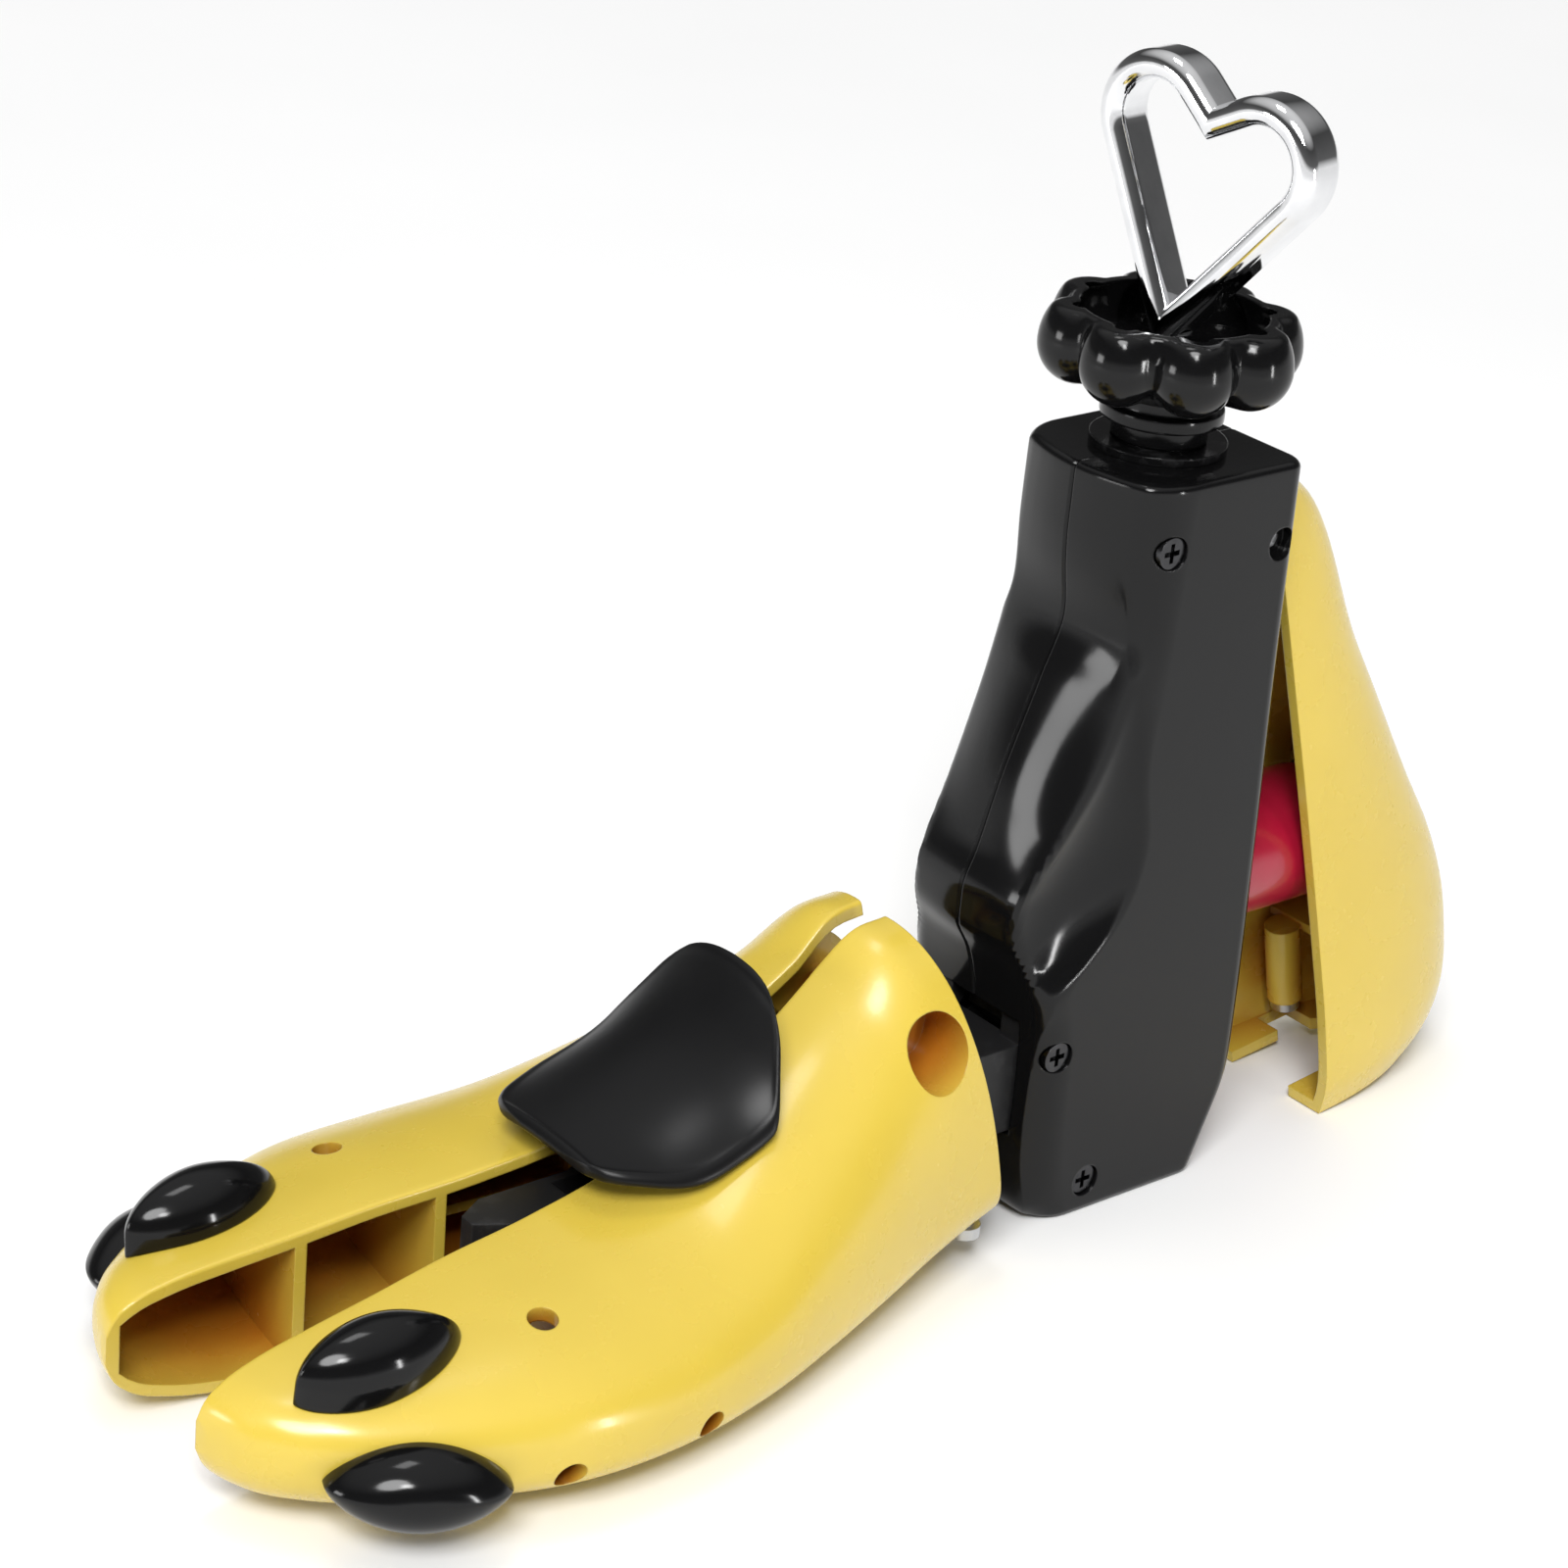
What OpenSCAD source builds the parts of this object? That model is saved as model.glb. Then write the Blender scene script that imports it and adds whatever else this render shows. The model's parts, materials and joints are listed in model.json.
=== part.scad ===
// Two-way shoe stretcher: a black column that stands in the heel of the shoe, a split yellow
// forefoot that opens sideways, an instep pad that rises, and a yellow heel shell that swings out.
// +Z is up, the toe points to -X and the heel to +X. The origin is on the floor under the spindle.
// The model stands as it does in use: halves spread by spread_rest, heel swung out by heel_rest.

/* [Column] */
// Height of the column above the floor
col_h = 128; // [126:1:134]
// Half width of the column's flat sides
col_half_w = 16.8; // [16.6:0.2:20]
// Wall of the column shells
col_wall = 2.4; // [2:0.1:2.6]
// Front of the column's top, ahead of the spindle axis
top_front = 18; // [17:0.5:21]
// Rear of the column's top, behind the spindle axis
top_rear = 17.4; // [17.2:0.2:19]
// Front of the instep nose, ahead of the spindle axis
nose_front = 31.8; // [30:0.5:36]
// Half width of the instep nose at its ridge
nose_half_w = 12.4; // [11.5:0.2:14]
// Front of the column's lower part, ahead of the spindle axis
shin_front = 25.2; // [25:0.2:27]
// Rear of the column above the foot chamfer, behind the spindle axis
shin_rear = 21; // [20.6:0.2:23]
// Rear of the foot on the floor, behind the spindle axis
foot_rear = 14.4; // [12:0.4:17]
// Depth of the hollow pressed into each side behind the nose
scoop_depth = 2.2; // [0.5:0.1:2.4]

/* [Knob and handle] */
// Largest radius of the petal knob
knob_r = 21.2; // [20:0.2:25]
// Height of the petal cup's rim above the column top
knob_rise = 22.5; // [21:0.5:28]
// Number of petals
petals = 8; // [6:1:10]
// Half thickness of the heart's band
rod_r = 2.3; // [1.8:0.1:2.8]
// Depth of the heart's band, across its plane
band_depth = 8.8; // [6:0.2:11]
// Width of the heart
heart_w = 41.5; // [38:0.5:46]
// Radius of each lobe of the heart, at the middle of the band
lobe_r = 8.3; // [8:0.1:10]
// Height of the lobe centres above the heart's tip
lobe_h = 31; // [26:0.5:34]
// Lean of the heart in its own plane
handle_lean = 7; // [0:1:10]
// Turn of the heart about the spindle, from the toe-heel plane
handle_turn = -82; // [-90:1:90]

/* [Forefoot] */
// Length of the forefoot halves
foot_len = 145.4; // [143:0.2:156]
// Gap between the spindle axis and the rear of the halves at the floor
foot_gap = 35; // [34:0.5:36]
// Half width of the closed forefoot at the ball
ball_half_w = 38.8; // [37:0.2:43]
// Height of the instep at the rear of the halves
instep_h = 58.5; // [56:0.5:62]
// Height of the toe
toe_h = 23.8; // [22.5:0.1:25]
// Wall of the forefoot halves
foot_wall = 2.2; // [1.8:0.1:2.4]
// Angle at which each half stands open
spread_rest = 5; // [4.7:0.1:5.4]
// Radius of the vertical hinge pins
pin_r = 2; // [1.8:0.1:2.1]
// Radius of the peg holes
peg_hole_r = 2.31; // [2:0.01:2.8]

/* [Instep pad and plugs] */
// Width of the instep pad
pad_w = 44; // [42:1:48]
// Thickness of the instep pad
pad_t = 1.8; // [1.6:0.1:3]
// Height of the pad's front above the halves as it stands
pad_rise = 6; // [3:0.5:8]
// Length of a plug
plug_len = 27; // [22:0.2:29]
// Width of a plug
plug_w = 13; // [11:0.2:15]
// Height of a plug
plug_h = 7.4; // [5:0.2:9]

/* [Heel] */
// Angle at which the heel shell stands open
heel_rest = 13.4; // [12.8:0.1:14]
// Depth of the heel shell
heel_depth = 42.3; // [40:0.5:48]
// Half width of the heel shell
heel_half_w = 16.8; // [16:0.2:18]
// Wall of the heel shell
heel_wall = 2; // [1.6:0.1:2.4]
// Radius of the red plunger
plunger_r = 11.5; // [10:0.1:11.6]

/* [Hidden] */

$fn = 48;

// Clearances
run_gap = 0.06;   // a shaft turning or sliding in its bore, on the radius
part_gap = 0.3;   // faces of pieces that move past each other
seat_gap = 0.02;  // a screw or pin that is fixed in its hole, on the radius
over = 1;         // how far a cut runs past the face that it opens

black = "#161616";
satin = "#1e1e1f";
yellow = "#d9b93c";
red = "#b01030";
chrome = "#d5d7da";
steel = "#9da1a6";

// Screws
screw_r = 1.5;
screw_head_r = 2.6;
screw_head_h = 2;
sink_r = screw_head_r + 0.2;
sink_depth = screw_head_h + 0.6;
boss_r = 3.2;

// Places of the column screws, [x, z]
top_screw = [-10.5, col_h - 11];
foot_screw = [-11.8, 5.8];
frame_screw = [-21.5, 31.4];

// Spindle, sleeve and their bearings
spindle_r = 3.5;
sleeve_r = 6;
collar_r = 11;
collar_h = 1.4;
bush_r = sleeve_r + 2.6;
mid_z = 94;
mid_h = 2;
spindle_end = 62;
spindle_top = col_h + knob_rise - 7.4;
flange_r = 5.5;
flange_h = 1.2;
knob_base = col_h + collar_h + part_gap;
cup_rim = col_h + knob_rise;
cup_floor = cup_rim - 7.6;
tip_z = cup_rim - 3;

// Push rod, drive nut and ram; drive_face is x + z on the ram's sloped face
rod_z = 24;
push_r = 3;
rod_end_x = -14;
drive_face = rod_end_x + rod_z;
ram_front = -22;
ram_rear = -2.8;
ram_half_w = 5;
drive_nut_z = 73.5;
drive_nut_h = 9;

// Heel drive; arm_face is z - x on the arm's sloped face
plunger_z = 50;
plunger_base = 11.5;
plunger_nose = plunger_base + 45.4;
arm_front = 8.4;
arm_rear = 14.2;
arm_half_w = 3.6;
arm_face = 38;
heel_nut_z = 101.2;
heel_nut_h = 6.8;

// Heel hinge
heel_pin_r = 1.5;
heel_pin = [13.6, col_h - 13.5];
ear_in = 5.4;
ear_out = 8.2;
ear_r = 4;
ear_slot = [heel_pin[1] - 6, heel_pin[1] + 7];

// Forefoot frame and the hinges of the halves
frame_half_w = 10.6;
frame_front = 58;
frame_z = [16.2, 32];
frame_rear = 25;
cheek_in = 6;
cheek_rear = 16;
half_pin = [-51.5, 5.5];
knuckle_r = 4.4;
knuckle_top = 43.5;

// Wedge and the posts that it spreads
cam_x = -95;
cam_y = 7.6;
cam_r = 3;
prow_half_w = 4.2;
flare = 20;
flare_travel = 17.95;
flare_start = cam_x - 9.6;
flare_end = flare_start + flare_travel;
body_half_w = prow_half_w + flare_travel * tan(flare);
wedge_tip = flare_start - 21.4;
wedge_rear = -74;
wedge_z = [9, 25];
ramp_slope = 0.15;
ramp_z = 18.6;
lifter_x = -95.5;
lifter_half_w = 2.2;
lifter_r = 3.5;

// Curve through control stations [place, value], smooth at every station
function station(k, x, i = 0) = (i >= len(k) - 2 || x < k[i + 1][0]) ? i : station(k, x, i + 1);
function chord(k, i) = (k[i + 1][1] - k[i][1]) / (k[i + 1][0] - k[i][0]);
function lean(k, i) = i == 0 ? chord(k, 0)
    : i == len(k) - 1 ? chord(k, i - 1)
    : chord(k, i - 1) * chord(k, i) <= 0 ? 0
    : (chord(k, i - 1) + chord(k, i)) / 2;
function curve(k, x) =
    let (i = station(k, x), w = k[i + 1][0] - k[i][0], t = max(0, min(1, (x - k[i][0]) / w)))
    k[i][1] * (1 + 2 * t) * pow(1 - t, 2) + k[i + 1][1] * t * t * (3 - 2 * t)
    + w * (lean(k, i) * t * pow(1 - t, 2) - lean(k, i + 1) * t * t * (1 - t));

// Skin over closed rings of points that all have the same length
module loft(rings) {
    n = len(rings[0]);
    last = len(rings) - 1;
    sides = [for (i = [0 : last - 1], j = [0 : n - 1])
        let (a = i * n + j, b = i * n + (j + 1) % n)
        each [[a, b + n, b], [a, a + n, b + n]]];
    low = [for (j = [0 : n - 1]) j];
    high = [for (j = [0 : n - 1]) last * n + n - 1 - j];
    polyhedron(points = [for (r = rings) each r], faces = concat(sides, [low, high]));
}

// Cylinder from y0 to y1 along Y, at [x, z]
module y_rod(p, r, y0, y1) {
    translate([p[0], y1, p[1]]) rotate([90, 0, 0]) cylinder(r = r, h = y1 - y0);
}

// Cylinder from x0 to x1 along X, at [y, z]
module x_rod(p, r, x0, x1) {
    translate([x0, p[0], p[1]]) rotate([0, 90, 0]) cylinder(r = r, h = x1 - x0);
}

// Box from its low corner to its high corner
module block(a, b) {
    translate(a) cube(b - a);
}

// Pan head with a cross recess, its seat at z = 0 and its shank below
module screw(shank) {
    difference() {
        cylinder(r = screw_head_r, h = screw_head_h);
        translate([0, 0, screw_head_h]) cube([3.2, 0.8, 2], center = true);
        translate([0, 0, screw_head_h]) cube([0.8, 3.2, 2], center = true);
    }
    translate([0, 0, -shank]) cylinder(r = screw_r, h = shank);
}

// Helical wire spring along Z from z = 0
module coil(radius, wire, pitch, turns) {
    steps = 8;
    sides = 5;
    loft([for (i = [0 : turns * steps])
        let (a = i * 360 / steps, z = i * pitch / steps)
        [for (j = [0 : sides - 1])
            let (b = -j * 360 / sides)
            [(radius + wire * cos(b)) * cos(a), (radius + wire * cos(b)) * sin(a),
                z + wire * sin(b)]]]);
}

// Column outline, as functions of the share q of the column's height
front_line = [[0, shin_front - 3.6], [0.02, shin_front - 1], [0.09, shin_front],
    [0.21, shin_front + 0.1], [0.30, shin_front + 1], [0.36, shin_front + 3.4],
    [0.41, nose_front], [0.45, nose_front], [0.50, nose_front - 2.2], [0.594, nose_front - 5.8],
    [0.72, top_front + 2], [0.805, top_front - 1.6], [0.875, top_front - 0.4],
    [0.92, top_front], [1, top_front]];
nose_line = [[0, shin_front - 4], [0.02, shin_front - 1.3], [0.09, shin_front - 0.4],
    [0.21, shin_front - 0.2], [0.30, shin_front + 0.7], [0.36, shin_front + 2.8],
    [0.41, nose_front - 1.2], [0.45, nose_front - 0.9], [0.484, nose_front - 2.6],
    [0.55, nose_front - 7.4], [0.625, nose_front - 12], [0.72, top_front - 1.6],
    [0.82, top_front - 3.5], [0.9, top_front - 3.2], [1, top_front - 3.2]];
nose_width = [[0, col_half_w - 2.2], [0.02, col_half_w - 1.6], [0.21, col_half_w - 1.4],
    [0.30, col_half_w - 1.8], [0.36, col_half_w - 2.9], [0.41, nose_half_w + 0.2],
    [0.455, nose_half_w], [0.484, nose_half_w + 0.5], [0.55, nose_half_w + 1.8],
    [0.625, col_half_w - 1.4], [0.72, col_half_w - 1.2], [0.82, col_half_w - 1.6],
    [0.9, col_half_w - 2.1], [1, col_half_w - 2.6]];
flat_line = [[0, 19.4], [0.1, 22], [0.30, 22.3], [0.344, 21.5], [0.372, 18], [0.414, 13],
    [0.47, 9.4], [0.523, 8.4], [0.606, 10.2], [0.72, 11.2], [0.82, 12.2], [0.9, 12], [1, 11.5]];
rear_line = [[0, foot_rear], [0.06, foot_rear + 3], [0.13, shin_rear - 0.5],
    [0.18, shin_rear], [0.45, shin_rear - 1], [0.72, top_rear + 1], [1, top_rear]];
facet_bulge = [[0, 0.6], [0.30, 0.6], [0.344, 0.3], [0.372, -0.4 * scoop_depth],
    [0.42, -0.8 * scoop_depth], [0.484, -scoop_depth], [0.606, -0.6 * scoop_depth],
    [0.72, -0.2 * scoop_depth], [0.82, 0], [0.9, 0.6], [1, 0.7]];
rear_round = 3.4;
edge_round = 1.2;
column_stations = [0, 0.01, 0.05, 0.09, 0.13, 0.21, 0.30, 0.34, 0.375, 0.41, 0.44, 0.47, 0.51,
    0.56, 0.62, 0.68, 0.74, 0.80, 0.85, 0.90, 0.95, 0.99, 1];
cavity_stations = [for (i = [0 : 10]) (col_wall + (col_h - 2 * col_wall) * i / 10) / col_h];

// Near outline of the column at share q, set in by t, with its open ends at y = split
function column_ring(q, t, split) =
    let (f = curve(front_line, q) - t, nx = curve(nose_line, q) - t,
        n = curve(nose_width, q) - 0.8 * t, w = col_half_w - t, b = min(curve(flat_line, q), nx - 1),
        r = curve(rear_line, q) - t, bulge = curve(facet_bulge, q),
        across = [nx - b, n - w], size = norm(across), out = [across[1], -across[0]] / size)
    concat(
        [[-f, split, q * col_h]],
        [for (u = [0.2 : 0.2 : 1]) [-f + (f - nx) * u * u, -n * u, q * col_h]],
        [for (v = [0.2 : 0.2 : 0.8])
            [-nx + across[0] * v + out[0] * bulge * 4 * v * (1 - v),
                -n + across[1] * v + out[1] * bulge * 4 * v * (1 - v), q * col_h]],
        [[-b, -w, q * col_h]],
        [for (a = [270 : 22.5 : 360])
            [r - rear_round + rear_round * cos(a), -w + rear_round + rear_round * sin(a),
                q * col_h]],
        [[r, split, q * col_h]]);

function rounded_in(q) = (q == 0 || q == 1) ? edge_round : 0;

// Near half of the column's shell, without the screw holes that differ from side to side
module column_half() {
    difference() {
        union() {
            difference() {
                loft([for (q = column_stations) column_ring(q, rounded_in(q), 0)]);
                loft([for (q = cavity_stations) column_ring(q, col_wall, over)]);
            }
            y_rod(top_screw, boss_r, -col_half_w + col_wall / 2, 0);
            y_rod(foot_screw, boss_r, -col_half_w + col_wall / 2, 0);
            y_rod(frame_screw, boss_r, -col_half_w + col_wall / 2, -frame_half_w - 0.5);
            y_rod(heel_pin, boss_r, -col_half_w + col_wall / 2, -ear_out - part_gap);
        }
        translate([0, 0, col_h - 2 * col_wall]) cylinder(r = bush_r + seat_gap, h = 4 * col_wall);
        x_rod([0, plunger_z], plunger_r + 1.8, plunger_base + 2, shin_rear + over);
        block([-shin_front - 8, -frame_half_w - part_gap, frame_z[0] - 0.8],
            [-shin_front + 5, over, frame_z[1] + 4.6]);
        block([heel_pin[0] + 0.4, -ear_out - part_gap, ear_slot[0]],
            [top_rear + 8, -ear_in + part_gap, ear_slot[1]]);
        y_rod(frame_screw, screw_r + seat_gap, -col_half_w - over, 0);
        y_rod(frame_screw, sink_r, -col_half_w - over, -col_half_w + sink_depth);
        y_rod(heel_pin, heel_pin_r + seat_gap, -col_half_w - over, 0);
        y_rod(heel_pin, sink_r, -col_half_w - over, -col_half_w + sink_depth);
    }
}

module near_column_shell() {
    color(black) difference() {
        column_half();
        for (p = [top_screw, foot_screw]) {
            y_rod(p, screw_r + seat_gap, -col_half_w - over, over);
            y_rod(p, sink_r, -col_half_w - over, -col_half_w + sink_depth);
        }
    }
}

module far_column_shell() {
    color(black) mirror([0, 1, 0]) difference() {
        column_half();
        for (p = [top_screw, foot_screw]) y_rod(p, screw_r + seat_gap, -10.4, over);
    }
}

module column_screws() {
    color(steel) for (p = [top_screw, foot_screw])
        translate([p[0], -col_half_w + sink_depth, p[1]]) rotate([90, 0, 0])
            screw(col_half_w - sink_depth + 10);
}

// Flanged bush in which the knob's sleeve turns
module top_collar() {
    color(black) difference() {
        union() {
            translate([0, 0, col_h]) cylinder(r = collar_r, h = collar_h);
            translate([0, 0, col_h - 2 * col_wall]) cylinder(r = bush_r, h = 2 * col_wall + over);
        }
        translate([0, 0, col_h - 3 * col_wall]) cylinder(r = sleeve_r + run_gap, h = 6 * col_wall);
    }
}

// Plate across the column that carries the sleeve's foot and stops the spindle's flange
module mid_bearing() {
    color(black) difference() {
        block([-10, -col_half_w + col_wall, mid_z], [7.4, col_half_w - col_wall, mid_z + mid_h]);
        translate([0, 0, mid_z - over]) cylinder(r = spindle_r + run_gap, h = mid_h + 2 * over);
    }
}

// Sleeve in the column's rear opening, slotted for the arm that drives the plunger
module plunger_guide() {
    color(black) difference() {
        x_rod([0, plunger_z], plunger_r + 1.7, 8.8, shin_rear - 1);
        x_rod([0, plunger_z], plunger_r + run_gap, 8, shin_rear);
        block([8, -arm_half_w - 1, plunger_z], [arm_rear + 2, arm_half_w + 1, plunger_z + 20]);
    }
}

// Stub pins on which the ears of the heel shell swing
module heel_hinge_pins() {
    color(steel) for (side = [0, 1]) mirror([0, side, 0])
        y_rod(heel_pin, heel_pin_r, -col_half_w + sink_depth, -ear_in + part_gap);
}

// Bracket between the column and the halves: two cheeks in the column, a plate with the hinges
module forefoot_frame() {
    color(satin) difference() {
        union() {
            block([-frame_front + 4, -frame_half_w, frame_z[0]],
                [-frame_rear + 1, frame_half_w, frame_z[1]]);
            block([-frame_front, -frame_half_w + 4, frame_z[0]],
                [-frame_front + 5, frame_half_w - 4, frame_z[1]]);
            for (y = [-1, 1]) translate([-frame_front + 4, y * (frame_half_w - 4), frame_z[0]])
                cylinder(r = 4, h = frame_z[1] - frame_z[0]);
            for (side = [0, 1]) mirror([0, side, 0])
                block([-frame_rear, -frame_half_w, frame_z[0] + 2],
                    [-cheek_rear, -cheek_in, frame_z[1] + 4]);
        }
        x_rod([0, rod_z], push_r + run_gap, -frame_front - over, 0);
        for (y = [-1, 1]) translate([half_pin[0], y * half_pin[1], 0])
            cylinder(r = pin_r + seat_gap, h = 60);
        y_rod(frame_screw, screw_r + seat_gap, -frame_half_w - over, frame_half_w + over);
    }
}

module half_hinge_pins() {
    color(steel) for (y = [-1, 1]) translate([half_pin[0], y * half_pin[1], 4])
        cylinder(r = pin_r, h = knuckle_top - 4.5);
}

// Screws that hold the cheeks of the frame in the column
module frame_screws() {
    color(steel) for (side = [0, 1]) mirror([0, side, 0])
        translate([frame_screw[0], -col_half_w + sink_depth, frame_screw[1]])
            rotate([90, 0, 0]) screw(col_half_w - sink_depth - cheek_in);
}

// Skin over closed rings that form a closed loop, the last one joined to the first
module loop_loft(rings) {
    n = len(rings[0]);
    count = len(rings);
    sides = [for (i = [0 : count - 1], j = [0 : n - 1])
        let (a = i * n + j, b = i * n + (j + 1) % n, c = (i + 1) % count * n + j,
            d = (i + 1) % count * n + (j + 1) % n)
        each [[a, d, b], [a, c, d]]];
    polyhedron(points = [for (r = rings) each r], faces = sides);
}

// Right side of the heart from tip to notch, each station [x, z, direction x, direction z]
notch_angle = 125;
heart_half = heart_w / 2 - lobe_r - rod_r;
heart_reach = norm([heart_half, lobe_h]);
leg_angle = atan2(lobe_h, heart_half) - asin(lobe_r / heart_reach);
notch_run = (heart_half + lobe_r * cos(notch_angle)) / sin(notch_angle);
heart_side = concat(
    [[0, 0, cos(leg_angle), sin(leg_angle)]],
    [for (i = [0 : 12])
        let (a = leg_angle - 90 + (notch_angle + 90 - leg_angle) * i / 12)
        [heart_half + lobe_r * cos(a), lobe_h + lobe_r * sin(a), -sin(a), cos(a)]],
    [[0, lobe_h + lobe_r * sin(notch_angle) + notch_run * cos(notch_angle),
        -sin(notch_angle), cos(notch_angle)]]);

// Flat oval section of the band at a station; at the tip and the notch it lies in the middle plane
function band_ring(p) = [for (i = [0 : 15])
    let (a = 11.25 + 22.5 * i, s = rod_r * cos(a),
        t = (band_depth / 2 - rod_r) * sign(sin(a)) + rod_r * sin(a))
    p[0] == 0 ? [0, t, p[1] - s / p[2]] : [p[0] + s * p[3], t, p[1] - s * p[2]]];

// Heart-shaped loop on a stub that is fixed on the spindle
module heart_handle() {
    last = len(heart_side) - 1;
    stations = concat(heart_side,
        [for (i = [last - 1 : -1 : 1])
            let (p = heart_side[i]) [-p[0], p[1], p[2], -p[3]]]);
    color(chrome) translate([0, 0, tip_z]) rotate([0, 0, handle_turn]) {
        rotate([0, handle_lean, 0]) loop_loft([for (p = stations) band_ring(p)]);
        translate([0, 0, spindle_top - tip_z]) cylinder(r = spindle_r - 0.3,
            h = tip_z - 0.6 - spindle_top);
    }
}

// Inner screw, turned by the heart, with the flange that holds it down
module spindle() {
    color(steel) {
        translate([0, 0, spindle_end]) cylinder(r = spindle_r, h = spindle_top - spindle_end);
        translate([0, 0, mid_z - part_gap - flange_h]) cylinder(r = flange_r, h = flange_h);
    }
}

// Radius of the petal cup at angle a and height z over the rim, set in by t
cup_core = [[-13.5, 9], [-12, 11.5], [-10.5, 14.4], [-8.5, 16.6], [-6.1, 17.4], [-3, 17.2], [0, 16.4]];
petal_r = 6.6;
function petal_edge(a, z, t) =
    let (c = knob_r - petal_r, d = 360 / petals, off = c * sin((a + 360) % d - d / 2),
        lobe = pow(petal_r - t, 2) - pow(z + 6.1, 2),
        core = curve(cup_core, z) * knob_r / 21.2 - t)
    lobe > off * off ? max(core, sqrt(c * c - off * off) + sqrt(lobe - off * off)) : core;
function petal_ring(z, t) = [for (i = [0 : 47])
    let (a = i * 7.5, r = petal_edge(a + handle_turn, z, t)) [r * cos(a), r * sin(a), cup_rim + z]];

module petal_knob() {
    color(black) difference() {
        union() {
            loft([for (z = [-13.5, -12.3, -11, -9.6, -8, -6.1, -4.2, -2.4, -1, 0]) petal_ring(z, 0)]);
            translate([0, 0, knob_base]) cylinder(r = 7.7, h = 4);
            translate([0, 0, knob_base + 3]) cylinder(r = 9.9, h = 2.4);
            translate([0, 0, knob_base + 4]) cylinder(r = 8.3, h = cup_rim - 12.7 - knob_base - 4);
        }
        loft([for (z = [cup_floor - cup_rim, -5.6, -3.6, -1.6, over / 10]) petal_ring(z, 1.8)]);
        translate([0, 0, knob_base - over]) cylinder(r = sleeve_r + seat_gap,
            h = cup_floor - 2 - knob_base + over);
        translate([0, 0, knob_base]) cylinder(r = spindle_r + part_gap, h = 40);
    }
}

// Outer screw, turned by the knob, with the spindle running through it
module threaded_sleeve() {
    color(steel) difference() {
        translate([0, 0, mid_z + mid_h + part_gap])
            cylinder(r = sleeve_r, h = cup_floor - 2.2 - mid_z - mid_h - part_gap);
        translate([0, 0, mid_z]) cylinder(r = spindle_r + run_gap, h = 60);
    }
}

// Nut on the spindle: its arm ends in a sloped ram that pushes the rod forward
module drive_nut() {
    top = drive_nut_z + drive_nut_h;
    color(satin) difference() {
        union() {
            block([-12, -11.8, drive_nut_z], [0, 11.8, top]);
            block([-6.6, -col_half_w + col_wall + part_gap, drive_nut_z],
                [7, col_half_w - col_wall - part_gap, top]);
            block([-12, -ram_half_w, 44], [-spindle_r - 1, ram_half_w, drive_nut_z + over]);
            difference() {
                block([ram_front, -ram_half_w, 10], [ram_rear, ram_half_w, 46]);
                translate([0, 0, drive_face + part_gap]) rotate([0, 45, 0])
                    block([-60, -20, -60], [60, 20, 0]);
            }
        }
        translate([0, 0, drive_nut_z - over]) cylinder(r = spindle_r + run_gap, h = 30);
    }
}

// Nut on the sleeve: its arm slides down the ramp in the plunger
module heel_nut() {
    color(satin) difference() {
        union() {
            block([-6.6, -col_half_w + col_wall + part_gap, heel_nut_z],
                [7, col_half_w - col_wall - part_gap, heel_nut_z + heel_nut_h]);
            block([6, -arm_half_w, heel_nut_z], [arm_rear, arm_half_w, heel_nut_z + heel_nut_h]);
            difference() {
                block([arm_front, -arm_half_w, 40], [arm_rear, arm_half_w, heel_nut_z + over]);
                translate([0, 0, arm_face + part_gap]) rotate([0, -45, 0])
                    block([-60, -20, -60], [60, 20, 0]);
            }
        }
        translate([0, 0, heel_nut_z - over]) cylinder(r = sleeve_r + run_gap, h = 30);
    }
}

// Round-nosed plunger with a 45 degree ramp in a slot for the arm
module heel_plunger() {
    color(red) difference() {
        union() {
            x_rod([0, plunger_z], plunger_r, plunger_base, plunger_nose - plunger_r);
            translate([plunger_nose - plunger_r, 0, plunger_z]) sphere(r = plunger_r);
        }
        block([plunger_base - 20, -20, 0], [plunger_base, 20, 90]);
        intersection() {
            block([plunger_base - over, -arm_half_w - part_gap, 0],
                [30, arm_half_w + part_gap, plunger_z + 20]);
            translate([0, 0, arm_face]) rotate([0, -45, 0]) block([-60, -20, 0], [60, 20, 60]);
        }
    }
}

// Heel shell in its own frame: [depth behind the rim, y, minus the way down the rim]
rim_top = [19.6, col_h - 10.5];
module heel_frame() {
    translate([rim_top[0], 0, rim_top[1]]) rotate([0, -heel_rest, 0]) children();
}
heel_len = 120.6;
heel_back = [[0, 0.22], [0.04, 0.31], [0.085, 0.37], [0.28, 0.51], [0.40, 0.63], [0.56, 0.79],
    [0.69, 0.93], [0.78, 0.99], [0.86, 1], [0.93, 0.965], [0.975, 0.87], [1, 0.76]];
heel_side = [[0, 0.5], [0.05, 0.56], [0.28, 0.72], [0.5, 0.85], [0.7, 0.95], [0.85, 1],
    [0.95, 0.97], [1, 0.86]];
heel_drop = [[0, 0], [0.6, 0], [0.85, 0.04], [1, 0.12]];
heel_stations = [0, 0.02, 0.06, 0.12, 0.2, 0.3, 0.4, 0.5, 0.6, 0.69, 0.77, 0.84, 0.9, 0.94, 0.97,
    0.99, 1];
push_plate = [0.44 * heel_len, 0.72 * heel_len];

function heel_ring(q, t, front) =
    let (d = curve(heel_back, q) * heel_depth - t, w = curve(heel_side, q) * heel_half_w - t,
        v = q * heel_len, k = curve(heel_drop, q))
    concat(
        [[front, w, -v - k * front]],
        [for (a = [10 : 10 : 170])
            let (u = d * pow(sin(a), 0.86), y = w * (cos(a) < 0 ? -1 : 1) * pow(abs(cos(a)), 0.86))
            [u, y, -v - k * u]],
        [[front, -w, -v - k * front]]);

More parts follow.
